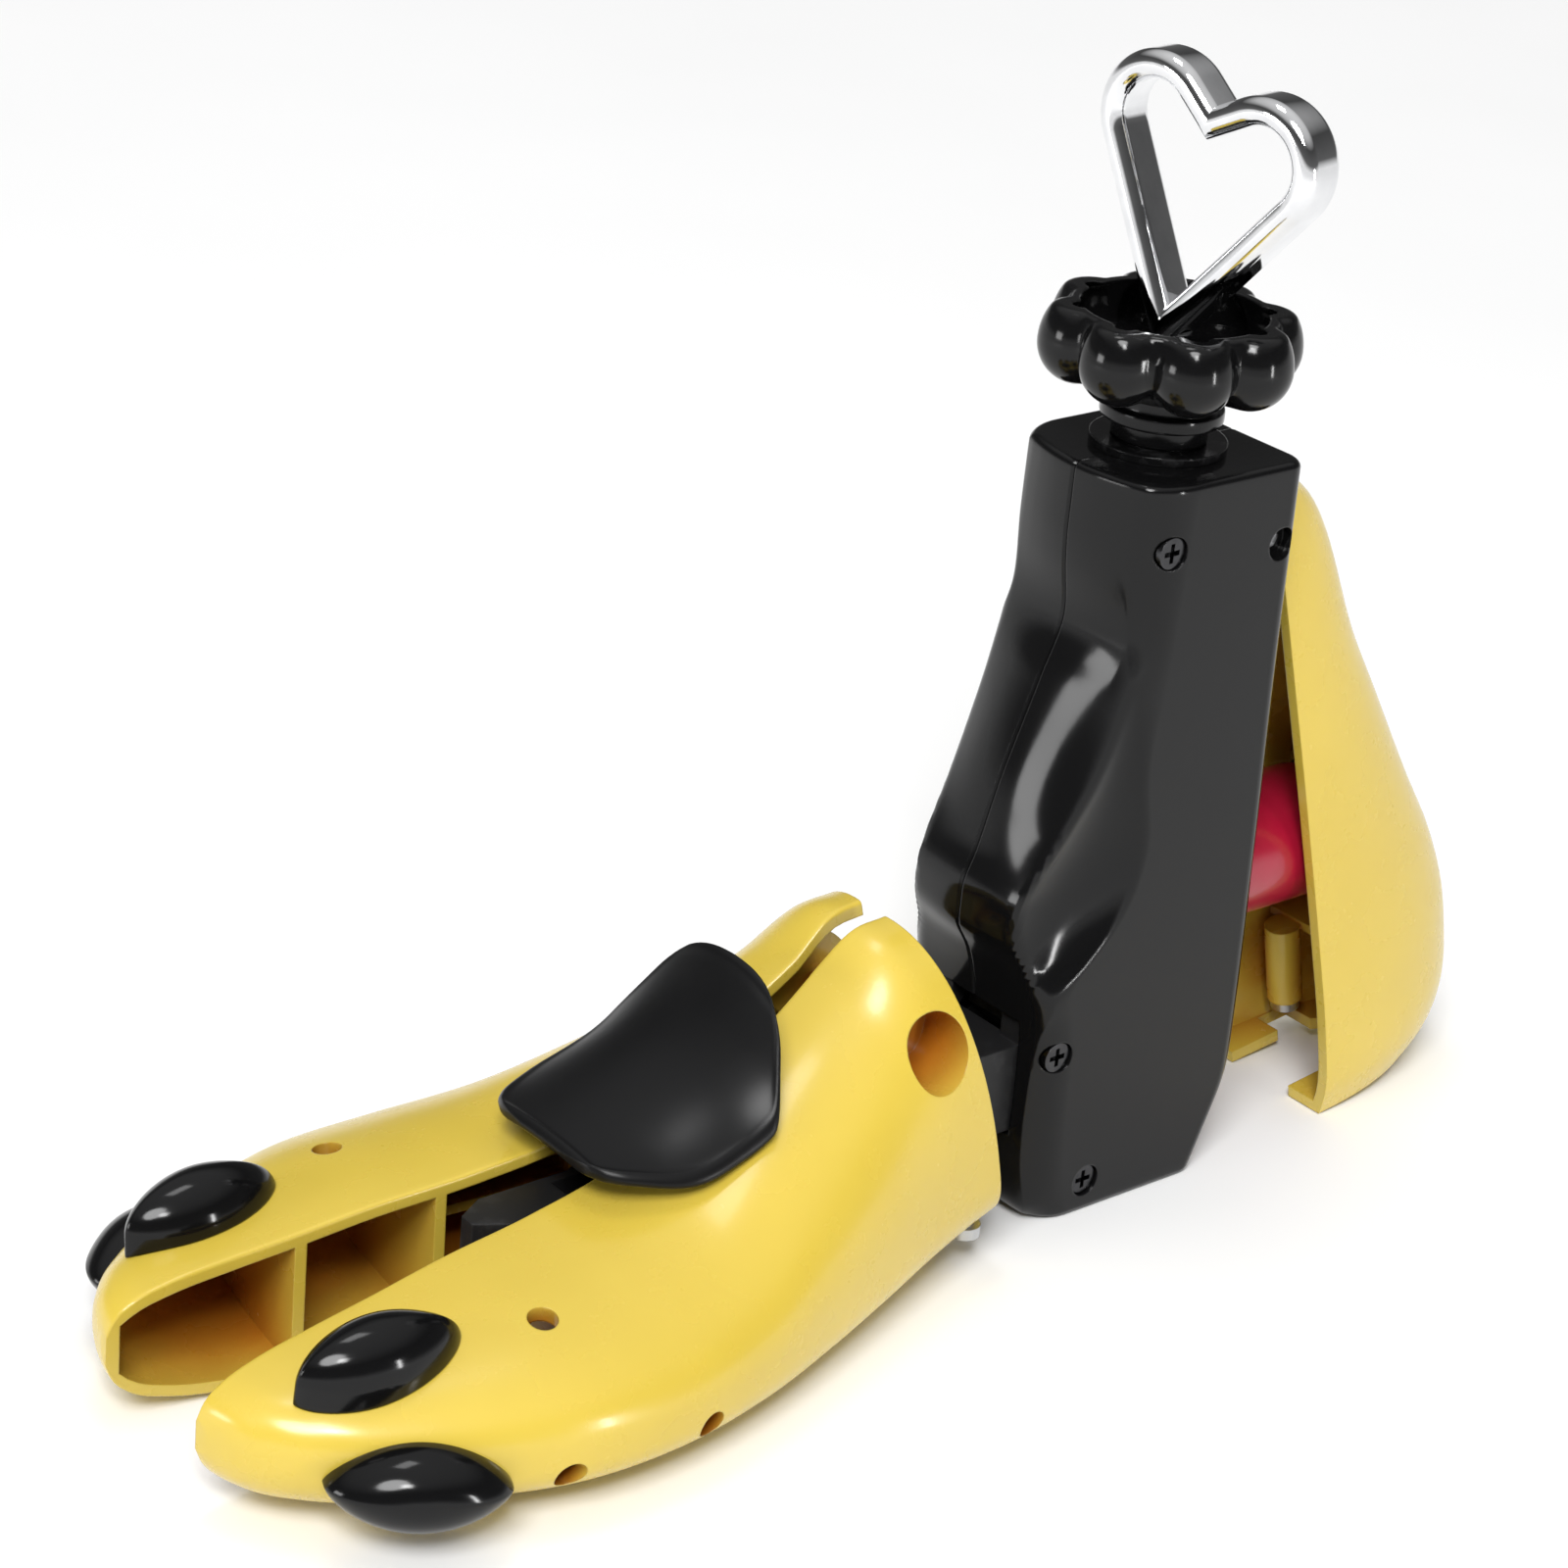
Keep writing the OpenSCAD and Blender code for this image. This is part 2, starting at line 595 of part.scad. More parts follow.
module heel_shell() {
    // Depth of the push plate behind the rim, so that the plunger's nose meets it
    lift = rim_top[1] - plunger_z;
    nose = plunger_nose - plunger_r - rim_top[0];
    plate = nose * cos(heel_rest) - lift * sin(heel_rest) + plunger_r + part_gap;
    pin_u = (heel_pin[0] - rim_top[0]) * cos(heel_rest)
        + (heel_pin[1] - rim_top[1]) * sin(heel_rest);
    pin_v = (heel_pin[0] - rim_top[0]) * sin(heel_rest)
        - (heel_pin[1] - rim_top[1]) * cos(heel_rest);
    touch_v = nose * sin(heel_rest) + lift * cos(heel_rest);
    color(yellow) heel_frame() difference() {
        union() {
            difference() {
                loft([for (q = heel_stations) heel_ring(q, 0, 0)]);
                difference() {
                    loft([for (i = [0 : 10]) heel_ring((2.4 + (heel_len - 4.6) * i / 10) / heel_len,
                        heel_wall, -over)]);
                    block([plate, -20, -push_plate[1]], [plate + 2, 20, -push_plate[0]]);
                    block([plate - 4, -20, -0.83 * heel_len], [60, 20, -0.815 * heel_len]);
                    difference() {
                        x_rod([0, -touch_v - 2.6], 13.6, plate - 1.2, plate + over);
                        x_rod([0, -touch_v - 2.6], 12.2, plate - 2, plate + over);
                    }
                    translate([15, 8.6, -heel_len]) cylinder(r = boss_r, h = 0.18 * heel_len);
                }
            }
            for (side = [0, 1]) mirror([0, side, 0]) {
                y_rod([pin_u, -pin_v], ear_r, -ear_out, -ear_in);
                block([pin_u, -ear_out, -pin_v - 3], [1.2, -ear_in, -pin_v + 1.4]);
            }
        }
        for (side = [0, 1]) mirror([0, side, 0])
            y_rod([pin_u, -pin_v], heel_pin_r + run_gap, -ear_out - over, -ear_in + over);
        block([-over, -7, -heel_len - 8], [15, 7, -heel_len + 5]);
        translate([15, 0, -heel_len - 8]) cylinder(r = 7, h = 13);
        block([11.4, 5, -heel_len - 8], [18.6, 12.2, -heel_len + 6]);
        translate([15, 8.6, -heel_len]) cylinder(r = screw_r + seat_gap, h = 16);
    }
}

module heel_screw() {
    color(steel) heel_frame() translate([15, 8.6, -heel_len + 6]) rotate([180, 0, 0]) screw(8);
}

// Wedge between the halves: a slender prow, a flare that parts the posts and a ramp for the pad
module spreader_wedge() {
    color(black) difference() {
        union() {
            translate([0, 0, wedge_z[0]]) linear_extrude(wedge_z[1] - wedge_z[0]) polygon([
                [wedge_tip, -1.4], [wedge_tip + 5, -prow_half_w], [flare_start, -prow_half_w],
                [flare_end, -body_half_w], [wedge_rear, -body_half_w], [wedge_rear, body_half_w],
                [flare_end, body_half_w], [flare_start, prow_half_w],
                [wedge_tip + 5, prow_half_w], [wedge_tip, 1.4]]);
            x_rod([0, rod_z], push_r + 2.4, wedge_rear - 9, wedge_rear + 2);
        }
        x_rod([0, rod_z], push_r + seat_gap, wedge_rear - 7, wedge_rear + 4);
        translate([0, -lifter_half_w - part_gap, 0]) rotate([-90, 0, 0])
            linear_extrude(2 * (lifter_half_w + part_gap)) polygon([
                for (p = [[lifter_x - 13.2, 0], [lifter_x + 12, 0]])
                    [p[0], -(ramp_z + ramp_slope * (p[0] - lifter_x))],
                [lifter_x + 12, -40], [lifter_x - 13.2, -40]]);
    }
}

// Rod fixed in the wedge, sliding in the frame and cut to the ram's slope
module push_rod() {
    color(steel) difference() {
        x_rod([0, rod_z], push_r, wedge_rear - 7, 10);
        translate([0, 0, drive_face]) rotate([0, 45, 0]) block([-60, -20, 0], [60, 20, 60]);
    }
}

// Forefoot outline, as functions of the share q of its length from the rear
half_side = [[0, 0.624], [0.054, 0.65], [0.129, 0.70], [0.218, 0.775], [0.327, 0.865],
    [0.449, 0.955], [0.578, 1], [0.70, 0.955], [0.789, 0.83], [0.864, 0.68], [0.932, 0.5],
    [0.973, 0.335], [0.993, 0.185], [1, 0.06]];
half_top = [[0, instep_h], [0.054, instep_h - 1], [0.129, instep_h - 7.4],
    [0.218, instep_h - 14.1], [0.327, toe_h + 14.2], [0.449, toe_h + 7], [0.578, toe_h + 4.1],
    [0.70, toe_h + 2.8], [0.789, toe_h + 1.2], [0.864, toe_h], [0.932, toe_h - 1.4],
    [0.973, toe_h - 3.3], [0.993, toe_h - 5.7], [1, toe_h - 8]];
half_sole = [[0, 6], [0.054, 4.8], [0.129, 3.2], [0.218, 1.8], [0.327, 0.6], [0.449, 0],
    [0.70, 0], [0.789, 0.1], [0.864, 0.7], [0.932, 2.6], [0.973, 5.2], [0.993, 8.4], [1, 11]];
half_upper = [[0, 0.9], [0.5, 0.9], [0.8, 0.8], [1, 0.8]];
half_lower = [[0, 0.6], [0.5, 0.64], [0.7, 0.76], [0.85, 0.9], [1, 0.94]];
half_wide = [[0, 20], [0.129, 18], [0.327, 15], [0.578, 12.4], [0.789, 12], [1, 13.6]];
half_rake = [[0, 0.26], [0.129, 0.205], [0.327, 0.115], [0.449, 0.065], [0.578, 0.025],
    [0.70, 0], [1, 0]];
half_stations = [0, 0.054, 0.1, 0.15, 0.2, 0.26, 0.327, 0.39, 0.45, 0.51, 0.578, 0.64, 0.70,
    0.745, 0.79, 0.83, 0.87, 0.905, 0.935, 0.96, 0.98, 0.993, 1];
rim_set = 1;

// Near ring of the forefoot at share q, set in by t, its open side at y = -rim
function half_ring(q, t, rim, steps) =
    let (x = -foot_gap - q * foot_len, w = curve(half_side, q) * ball_half_w - t,
        low = curve(half_lower, q), up = curve(half_upper, q),
        top = curve(half_top, q) - t, sole = curve(half_sole, q) + t, mid = curve(half_wide, q),
        k = curve(half_rake, q), wide = w - rim,
        p = concat(
            [for (i = [0 : steps - 1])
                let (a = 90 * i / steps)
                [rim + wide * pow(sin(a), low), mid - (mid - sole) * pow(cos(a), low)]],
            [for (i = [0 : steps])
                let (a = 90 * i / steps)
                [rim + wide * pow(cos(a), up), mid + (top - mid) * pow(sin(a), up)]]))
    [for (c = p) [x - k * c[1], -c[0], c[1]]];

// The open side stands back from the middle, and further back behind the hinge
function rim_at(q) = rim_set + 1.8 * max(0, 1 - q * foot_len / 17);
function place(x) = (-foot_gap - x) / foot_len;

module half_solid(t) {
    loft([for (q = half_stations) half_ring(q, t, rim_at(q), 8)]);
}
module half_bay(q0, q1, n) {
    loft([for (i = [0 : n]) half_ring(q0 + (q1 - q0) * i / n, foot_wall, -over, 6)]);
}

// Turns a near piece from the closed forefoot to where it stands
module half_pose() {
    translate([half_pin[0], -half_pin[1], 0]) rotate([0, 0, spread_rest])
        translate([-half_pin[0], half_pin[1], 0]) children();
}

// Peg axes in the closed forefoot: point on the surface, then turn about X and about Z
top_peg = [-158.7, -14.3, 23.9, 6, 0];
side_peg = [-160.9, -26.8, 10.9, 82, -31];
module peg_frame(p) {
    translate([p[0], p[1], p[2]]) rotate([0, 0, p[4]]) rotate([p[3], 0, 0]) children();
}

toe_rib = -149;
ball_rib = -125;
rib_t = 2;
finger_r = 6.5;
finger = [-52.8, 43.2];
half_screw_at = [-41.5, -19.5];
spring_post = [-66, -13, 0];
spring_post_r = 2.1;
spring_z = 6.6;
spring_r = 1.7;
wire_r = 0.45;

module forefoot_half() {
    difference() {
        union() {
            difference() {
                half_solid(0);
                half_bay(place(toe_rib - rib_t / 2), 0.985, 5);
                half_bay(place(ball_rib - rib_t / 2), place(toe_rib + rib_t / 2), 3);
                difference() {
                    half_bay(-0.03, place(ball_rib + rib_t / 2), 10);
                    // Guide rails along the outer wall
                    for (z = [14, 20]) block([ball_rib - 2, -60, z], [-75, -body_half_w - 0.9, z + 1.8]);
                    // Post that the wedge pushes, and its rib
                    translate([cam_x, -cam_y, 0]) cylinder(r = cam_r, h = wedge_z[1]);
                    block([cam_x - 1, -60, 0], [cam_x + 1, -cam_y, wedge_z[1]]);
                    // Knuckles above and below the frame, each with a rib to the wall
                    for (z = [[0, frame_z[0] - part_gap], [frame_z[1] + part_gap, knuckle_top]]) {
                        translate([half_pin[0], -half_pin[1], z[0]])
                            cylinder(r = knuckle_r, h = z[1] - z[0]);
                        block([half_pin[0] - 1.5, -60, z[0]],
                            [half_pin[0] + 1.5, -half_pin[1], z[1]]);
                    }
                    // Blind socket for a finger
                    y_rod(finger, finger_r + 1.6, -60, -10);
                    // Post for the return spring
                    translate(spring_post) cylinder(r = spring_post_r, h = 10);
                    // Boss for the screw at the rear of the sole
                    translate([half_screw_at[0], half_screw_at[1], 0]) cylinder(r = boss_r, h = 14);
                }
            }
        }
        y_rod(finger, finger_r, -60, -11.6);
        translate([half_pin[0], -half_pin[1], 2]) cylinder(r = pin_r + run_gap, h = knuckle_top - 1);
        translate([half_screw_at[0], half_screw_at[1], -over]) cylinder(r = sink_r, h = 8.6);
        translate([half_screw_at[0], half_screw_at[1], 0]) cylinder(r = screw_r + seat_gap, h = 13);
        // Well for the pad's post
        block([lifter_x - 5, -7.2, wedge_z[1] + 1], [lifter_x + 5, over, 60]);
        // Spare peg holes
        translate([-134.1, -21, 15]) cylinder(r = peg_hole_r, h = 20);
        for (x = [-115, -140]) y_rod([x, 8.6], peg_hole_r, -50, -26);
        peg_frame(top_peg) translate([0, 0, -9]) cylinder(r = peg_hole_r, h = 14);
        peg_frame(side_peg) translate([0, 0, -9]) cylinder(r = peg_hole_r, h = 14);
    }
}

module near_forefoot_half() {
    color(yellow) half_pose() forefoot_half();
}
module far_forefoot_half() {
    color(yellow) mirror([0, 1, 0]) half_pose() forefoot_half();
}

module half_screw() {
    color(steel) half_pose() translate([half_screw_at[0], half_screw_at[1], 7.6])
        rotate([180, 0, 0]) screw(5);
}
module near_half_screw() {
    half_screw();
}
module far_half_screw() {
    mirror([0, 1, 0]) half_screw();
}

// Tension spring that draws the halves together
module forefoot_return_spring() {
    hook = 2.95;
    off = spring_post - [half_pin[0], -half_pin[1], 0];
    post = [half_pin[0] + off[0] * cos(spread_rest) - off[1] * sin(spread_rest),
        -half_pin[1] + off[0] * sin(spread_rest) + off[1] * cos(spread_rest)];
    reach = -post[1] - 2.4;
    color(steel) translate([post[0], 0, spring_z]) {
        translate([0, -reach, 0]) rotate([-90, 0, 0]) coil(spring_r, wire_r, 2 * reach / 7, 7);
        for (y = [post[1], -post[1]]) translate([0, y, 0])
            rotate_extrude() translate([hook, 0]) circle(r = wire_r, $fn = 16);
    }
}

// Pad over both halves; u runs from its front to its rear, v from side to side
// The crown line runs up the instep; the cross section is an arc that deepens to the rear
pad_front = -113.4;
pad_rear = -77.9;
pad_line = [[pad_front - 4, 28.2], [pad_front, 28.5], [-101.5, 30.8], [-90, 36.1],
    [-84, 41.7], [pad_rear, 50.2], [pad_rear + 4, 54.8]];
pad_drop = [[pad_front - 4, 2.2], [pad_front, 2.4], [-101.5, 5.4], [-92, 7.6],
    [-84, 11.2], [pad_rear, 14.4], [pad_rear + 4, 16]];
pad_side = [[0, 0.58], [0.06, 0.64], [0.18, 0.77], [0.4, 0.93], [0.65, 0.95], [0.8, 0.95],
    [0.9, 0.77], [0.97, 0.55], [1, 0.36]];
function pad_z(x, y) =
    let (drop = curve(pad_drop, x), r = (pow(pad_w / 2, 2) + drop * drop) / (2 * drop))
    curve(pad_line, x) - r + sqrt(r * r - y * y);
module pad_solid(t) {
    nu = 12;
    nv = 12;
    loft([for (i = [0 : nu])
        let (u = 0.5 - 0.5 * cos(180 * i / nu), x = pad_front + (pad_rear - pad_front) * u,
            s = curve(pad_side, u) * pad_w / 2)
        concat(
            [for (j = [0 : nv]) let (y = s * (1 - 2 * j / nv)) [x, y, pad_z(x, y) + pad_rise + t]],
            [for (j = [0 : nv]) let (y = s * (-1 + 2 * j / nv)) [x, y, pad_z(x, y) + pad_rise]])]);
}
module instep_pad() {
    color(satin) pad_solid(pad_t);
}

// Post under the pad, resting on the wedge's ramp and guided by the well
module pad_lifter() {
    foot_z = ramp_z + (lifter_r + part_gap) / cos(atan(ramp_slope));
    color(satin) difference() {
        union() {
            y_rod([lifter_x, foot_z], lifter_r, -lifter_half_w, lifter_half_w);
            block([lifter_x - lifter_r, -lifter_half_w, foot_z],
                [lifter_x + lifter_r, lifter_half_w, 50]);
            block([lifter_x - lifter_r, -5, wedge_z[1] + 6], [lifter_x + lifter_r, 5, 50]);
        }
        pad_solid(30);
    }
}

// Turn of a plug about its peg
top_plug_turn = -8;
side_plug_turn = -4;

// Pointed oval dome on a peg, its underside shaped to the half
function oval(a) = let (x = plug_len / 2 * cos(a)) [x, plug_w / 2 * (a > 180 ? -1 : 1)
    * pow(max(0, 1 - pow(cos(a), 2)), 0.72)];
module plug_dome() {
    loft(concat(
        [[for (i = [0 : 23]) let (p = oval(i * 15)) [p[0], p[1], -5]]],
        [for (t = [0, 0.3, 0.55, 0.76, 0.9, 0.98])
            [for (i = [0 : 23]) let (p = oval(i * 15) * sqrt(1 - t * t)) [p[0], p[1], plug_h * t]]]));
}
module plug(p, turn) {
    color(black) half_pose() {
        difference() {
            peg_frame(p) rotate([0, 0, turn]) plug_dome();
            half_solid(-part_gap);
        }
        peg_frame(p) translate([0, 0, -7]) cylinder(r = peg_hole_r - run_gap, h = 9);
    }
}
module near_top_plug() {
    plug(top_peg, top_plug_turn);
}
module near_side_plug() {
    plug(side_peg, side_plug_turn);
}
module far_top_plug() {
    mirror([0, 1, 0]) plug(top_peg, top_plug_turn);
}
module far_side_plug() {
    mirror([0, 1, 0]) plug(side_peg, side_plug_turn);
}

near_column_shell();
far_column_shell();
column_screws();
top_collar();
mid_bearing();
plunger_guide();
heel_hinge_pins();
forefoot_frame();
half_hinge_pins();
frame_screws();
heart_handle();
spindle();
petal_knob();
threaded_sleeve();
drive_nut();
heel_nut();
heel_plunger();
heel_shell();
heel_screw();
spreader_wedge();
push_rod();
near_forefoot_half();
far_forefoot_half();
near_half_screw();
far_half_screw();
forefoot_return_spring();
instep_pad();
pad_lifter();
near_top_plug();
near_side_plug();
far_top_plug();
far_side_plug();
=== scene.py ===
# Looks of the two-way shoe stretcher: smooth moulded shells, chrome heart, studio light and camera.
# Lengths are in millimetres until a mesh is made, and angles in degrees.
import json
import math

import bmesh
import bpy
from mathutils import Matrix, Vector


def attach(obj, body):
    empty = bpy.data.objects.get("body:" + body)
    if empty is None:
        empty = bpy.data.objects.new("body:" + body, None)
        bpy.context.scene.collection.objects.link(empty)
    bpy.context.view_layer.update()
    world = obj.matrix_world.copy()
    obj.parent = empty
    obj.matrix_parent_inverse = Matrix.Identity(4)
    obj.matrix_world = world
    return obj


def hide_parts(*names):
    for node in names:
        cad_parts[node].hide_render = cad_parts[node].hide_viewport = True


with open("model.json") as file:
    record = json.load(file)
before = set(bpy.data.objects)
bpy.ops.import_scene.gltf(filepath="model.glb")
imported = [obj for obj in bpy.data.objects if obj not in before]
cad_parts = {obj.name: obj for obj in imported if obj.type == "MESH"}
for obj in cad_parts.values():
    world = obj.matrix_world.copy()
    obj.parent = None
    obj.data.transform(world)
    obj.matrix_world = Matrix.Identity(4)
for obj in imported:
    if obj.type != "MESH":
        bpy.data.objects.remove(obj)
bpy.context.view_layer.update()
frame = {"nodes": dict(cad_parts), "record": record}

MM = 0.001

# Sizes, as the part has them
COL_H, COL_HALF_W, COL_WALL = 128, 16.8, 2.4
TOP_FRONT, TOP_REAR, NOSE_FRONT, NOSE_HALF_W = 18, 17.4, 31.8, 12.4
SHIN_FRONT, SHIN_REAR, FOOT_REAR, SCOOP = 25.2, 21, 14.4, 2.2
KNOB_R, KNOB_RISE, PETALS = 21.2, 22.5, 8
BAND_HALF, BAND_DEPTH, HEART_W, LOBE_R, LOBE_H = 2.3, 8.8, 41.5, 8.3, 31
HEART_LEAN, HEART_TURN = 7, -82
FOOT_LEN, FOOT_GAP, BALL_HALF_W, INSTEP_H, TOE_H = 145.4, 35, 38.8, 58.5, 23.8
FOOT_WALL, SPREAD, PIN_R, PEG_R = 2.2, 5, 2, 2.31
PAD_W, PAD_T, PAD_RISE = 44, 1.8, 6
PLUG_LEN, PLUG_W, PLUG_H = 27, 13, 7.4
HEEL_REST, HEEL_DEPTH, HEEL_HALF_W, HEEL_WALL, PLUNGER_R = 13.4, 42.3, 16.8, 2, 11.5
HEEL_LEN = 120.6
RUN_GAP, PART_GAP, SEAT_GAP, OVER = 0.06, 0.3, 0.02, 1
SCREW_R, SINK_R, SINK_DEPTH, BOSS_R = 1.5, 2.8, 2.6, 3.2
TOP_SCREW, FOOT_SCREW, FRAME_SCREW = (-10.5, COL_H - 11), (-11.8, 5.8), (-21.5, 31.4)
SPINDLE_R, SLEEVE_R, COLLAR_H = 3.5, 6, 1.4
BUSH_R = SLEEVE_R + 2.6
FRAME_HALF_W, FRAME_Z = 10.6, (16.2, 32)
PLUNGER_Z, PLUNGER_BASE, PLUNGER_LEN = 50, 11.5, 45.4
HEEL_PIN, HEEL_PIN_R = (13.6, COL_H - 13.5), 1.5
EAR_IN, EAR_OUT, EAR_R = 5.4, 8.2, 4
GUIDE_R = PLUNGER_R + 1.8
FRAME_SLOT_Z = (FRAME_Z[0] - 0.8, FRAME_Z[1] + 4.6)
EAR_SLOT_Z = (HEEL_PIN[1] - 6, HEEL_PIN[1] + 7)
HALF_PIN = (-51.5, 5.5)


def smooth_curve(keys, x):
    """Value at x of the curve through control stations (place, value), smooth at every station."""
    n = len(keys)
    i = 0
    while i < n - 2 and x >= keys[i + 1][0]:
        i += 1

    def chord(k):
        return (keys[k + 1][1] - keys[k][1]) / (keys[k + 1][0] - keys[k][0])

    def lean(k):
        if k == 0:
            return chord(0)
        if k == n - 1:
            return chord(n - 2)
        if chord(k - 1) * chord(k) <= 0:
            return 0
        return (chord(k - 1) + chord(k)) / 2

    w = keys[i + 1][0] - keys[i][0]
    t = min(1, max(0, (x - keys[i][0]) / w))
    ease = 1 - t
    return (keys[i][1] * (1 + 2 * t) * ease ** 2 + keys[i + 1][1] * t * t * (3 - 2 * t)
            + w * (lean(i) * t * ease ** 2 - lean(i + 1) * t * t * ease))


def spread_out(low, high, count):
    """Evenly spread values from low to high, both ends included."""
    return [low + (high - low) * i / (count - 1) for i in range(count)]


def eased(count):
    """Values from 0 to 1 that crowd towards both ends."""
    return [0.5 - 0.5 * math.cos(math.pi * i / (count - 1)) for i in range(count)]


def sin(a):
    """Sine of an angle in degrees."""
    return math.sin(math.radians(a))


def cos(a):
    """Cosine of an angle in degrees."""
    return math.cos(math.radians(a))


def power(value, exponent):
    """The value's power, where rounding just under zero counts as zero."""
    return max(0.0, value) ** exponent


def make(name, points, faces, matrix=None):
    """A mesh object from points in millimetres, with its normals turned outwards."""
    mesh = bpy.data.meshes.new(name)
    place = matrix or Matrix.Identity(4)
    mesh.from_pydata([(place @ Vector(p)) * MM for p in points], [], faces)
    build = bmesh.new()
    build.from_mesh(mesh)
    bmesh.ops.remove_doubles(build, verts=build.verts, dist=2e-6)
    bmesh.ops.dissolve_degenerate(build, edges=build.edges, dist=1e-6)
    bmesh.ops.recalc_face_normals(build, faces=build.faces)
    build.to_mesh(mesh)
    build.free()
    piece = bpy.data.objects.new(name, mesh)
    bpy.context.scene.collection.objects.link(piece)
    return piece


def loft(name, rings, matrix=None, closed=False):
    """Skin over rings of equal length. An open run gets end faces; a closed one joins its ends."""
    n = len(rings[0])
    last = len(rings) - 1
    faces = []
    for i in range(last + (1 if closed else 0)):
        low, high = i * n, (i + 1) % len(rings) * n
        for j in range(n):
            k = (j + 1) % n
            faces.append((low + j, low + k, high + k, high + j))
    if not closed:
        faces.append(tuple(range(n))[::-1])
        faces.append(tuple(range(last * n, last * n + n)))
    return make(name, [p for ring in rings for p in ring], faces, matrix)


def rod(start, end, radius, matrix=None, sides=64):
    """Cylinder from start to end."""
    start, end = Vector(start), Vector(end)
    axis = (end - start).normalized()
    side = axis.orthogonal().normalized()
    other = axis.cross(side)
    rings = [[p + (side * cos(360 * j / sides) + other * sin(360 * j / sides)) * radius
              for j in range(sides)] for p in (start, end)]
    return loft("tool", rings, matrix)


def block(low, high):
    """Box from its low corner to its high corner."""
    (x0, y0, z0), (x1, y1, z1) = low, high
    rings = [[(x0, y0, z), (x1, y0, z), (x1, y1, z), (x0, y1, z)] for z in (z0, z1)]
    return loft("tool", rings)


def bake(piece):
    """The piece's modifiers become its mesh."""
    graph = bpy.context.evaluated_depsgraph_get()
    done = bpy.data.meshes.new_from_object(piece.evaluated_get(graph))
    old = piece.data
    piece.modifiers.clear()
    piece.data = done
    done.name = piece.name
    bpy.data.meshes.remove(old)


def combine(piece, tools, operation="DIFFERENCE"):
    """Cuts the tools from the piece, or adds them to it, and deletes them."""
    for tool in tools:
        step = piece.modifiers.new("shape", "BOOLEAN")
        step.operation = operation
        step.solver = "EXACT"
        step.object = tool
        bake(piece)
        bpy.data.objects.remove(tool)
    return piece


def move_mesh(piece, pose):
    """The piece's mesh takes the pose, which is in millimetres, and its origin stays."""
    piece.data.transform(Matrix.Translation(Vector(pose.translation) * MM)
                         @ pose.to_3x3().to_4x4())


def shade(piece, angle):
    """Smooth shading that keeps the edges sharper than the angle."""
    mesh = piece.data
    build = bmesh.new()
    build.from_mesh(mesh)
    bmesh.ops.remove_doubles(build, verts=build.verts, dist=4e-6)
    limit = math.radians(angle)
    for face in build.faces:
        face.smooth = True
    for edge in build.edges:
        edge.smooth = len(edge.link_faces) == 2 and edge.calc_face_angle(0) < limit
    build.to_mesh(mesh)
    build.free()
    weigh = piece.modifiers.new("normals", "WEIGHTED_NORMAL")
    weigh.keep_sharp = True
    return piece


def mirrored(piece, name):
    """A copy of the piece on the other side of the middle plane."""
    copy = bpy.data.objects.new(name, piece.data.copy())
    bpy.context.scene.collection.objects.link(copy)
    copy.data.transform(Matrix.Scale(-1, 4, (0, 1, 0)))
    copy.data.flip_normals()
    return copy


# Materials. Each texture reads the object's own coordinates, in metres.
def material(name, colour, roughness, metallic=0.0, coat=0.0, coat_roughness=0.05):
    """Principled material with its constant values on the shader's own sockets."""
    made = bpy.data.materials.new(name)
    made.use_nodes = True
    tree = made.node_tree
    shader = tree.nodes["Principled BSDF"]
    shader.inputs["Base Color"].default_value = (*colour, 1)
    shader.inputs["Roughness"].default_value = roughness
    shader.inputs["Metallic"].default_value = metallic
    shader.inputs["Coat Weight"].default_value = coat
    shader.inputs["Coat Roughness"].default_value = coat_roughness
    shader.inputs["IOR"].default_value = 1.5
    return made, tree, shader


def noise(tree, scale, detail=3.0, roughness=0.55, stretch=(1, 1, 1)):
    """Noise over the object's own coordinates."""
    place = tree.nodes.new("ShaderNodeTexCoord")
    sizes = tree.nodes.new("ShaderNodeMapping")
    sizes.inputs["Scale"].default_value = stretch
    grain = tree.nodes.new("ShaderNodeTexNoise")
    grain.inputs["Scale"].default_value = scale
    grain.inputs["Detail"].default_value = detail
    grain.inputs["Roughness"].default_value = roughness
    tree.links.new(place.outputs["Object"], sizes.inputs["Vector"])
    tree.links.new(sizes.outputs["Vector"], grain.inputs["Vector"])
    return grain.outputs["Fac"]


def mapped(tree, value, low, high, start=0.0, end=1.0):
    """The value's run from start to end turned into low to high."""
    node = tree.nodes.new("ShaderNodeMapRange")
    node.inputs["From Min"].default_value = start
    node.inputs["From Max"].default_value = end
    node.inputs["To Min"].default_value = low
    node.inputs["To Max"].default_value = high
    tree.links.new(value, node.inputs["Value"])
    return node.outputs["Result"]


def mixed(tree, factor, first, second):
    """Colour that goes from first to second with the factor."""
    node = tree.nodes.new("ShaderNodeMix")
    node.data_type = "RGBA"
    tree.links.new(factor, node.inputs["Factor"])
    for socket, colour in (("A", first), ("B", second)):
        target = [s for s in node.inputs if s.name == socket and s.type == "RGBA"][0]
        if isinstance(colour, tuple):
            target.default_value = (*colour, 1)
        else:
            tree.links.new(colour, target)
    return [s for s in node.outputs if s.type == "RGBA"][0]


def product(tree, first, second):
    """One value times the other."""
    node = tree.nodes.new("ShaderNodeMath")
    node.operation = "MULTIPLY"
    tree.links.new(first, node.inputs[0])
    tree.links.new(second, node.inputs[1])
    return node.outputs[0]


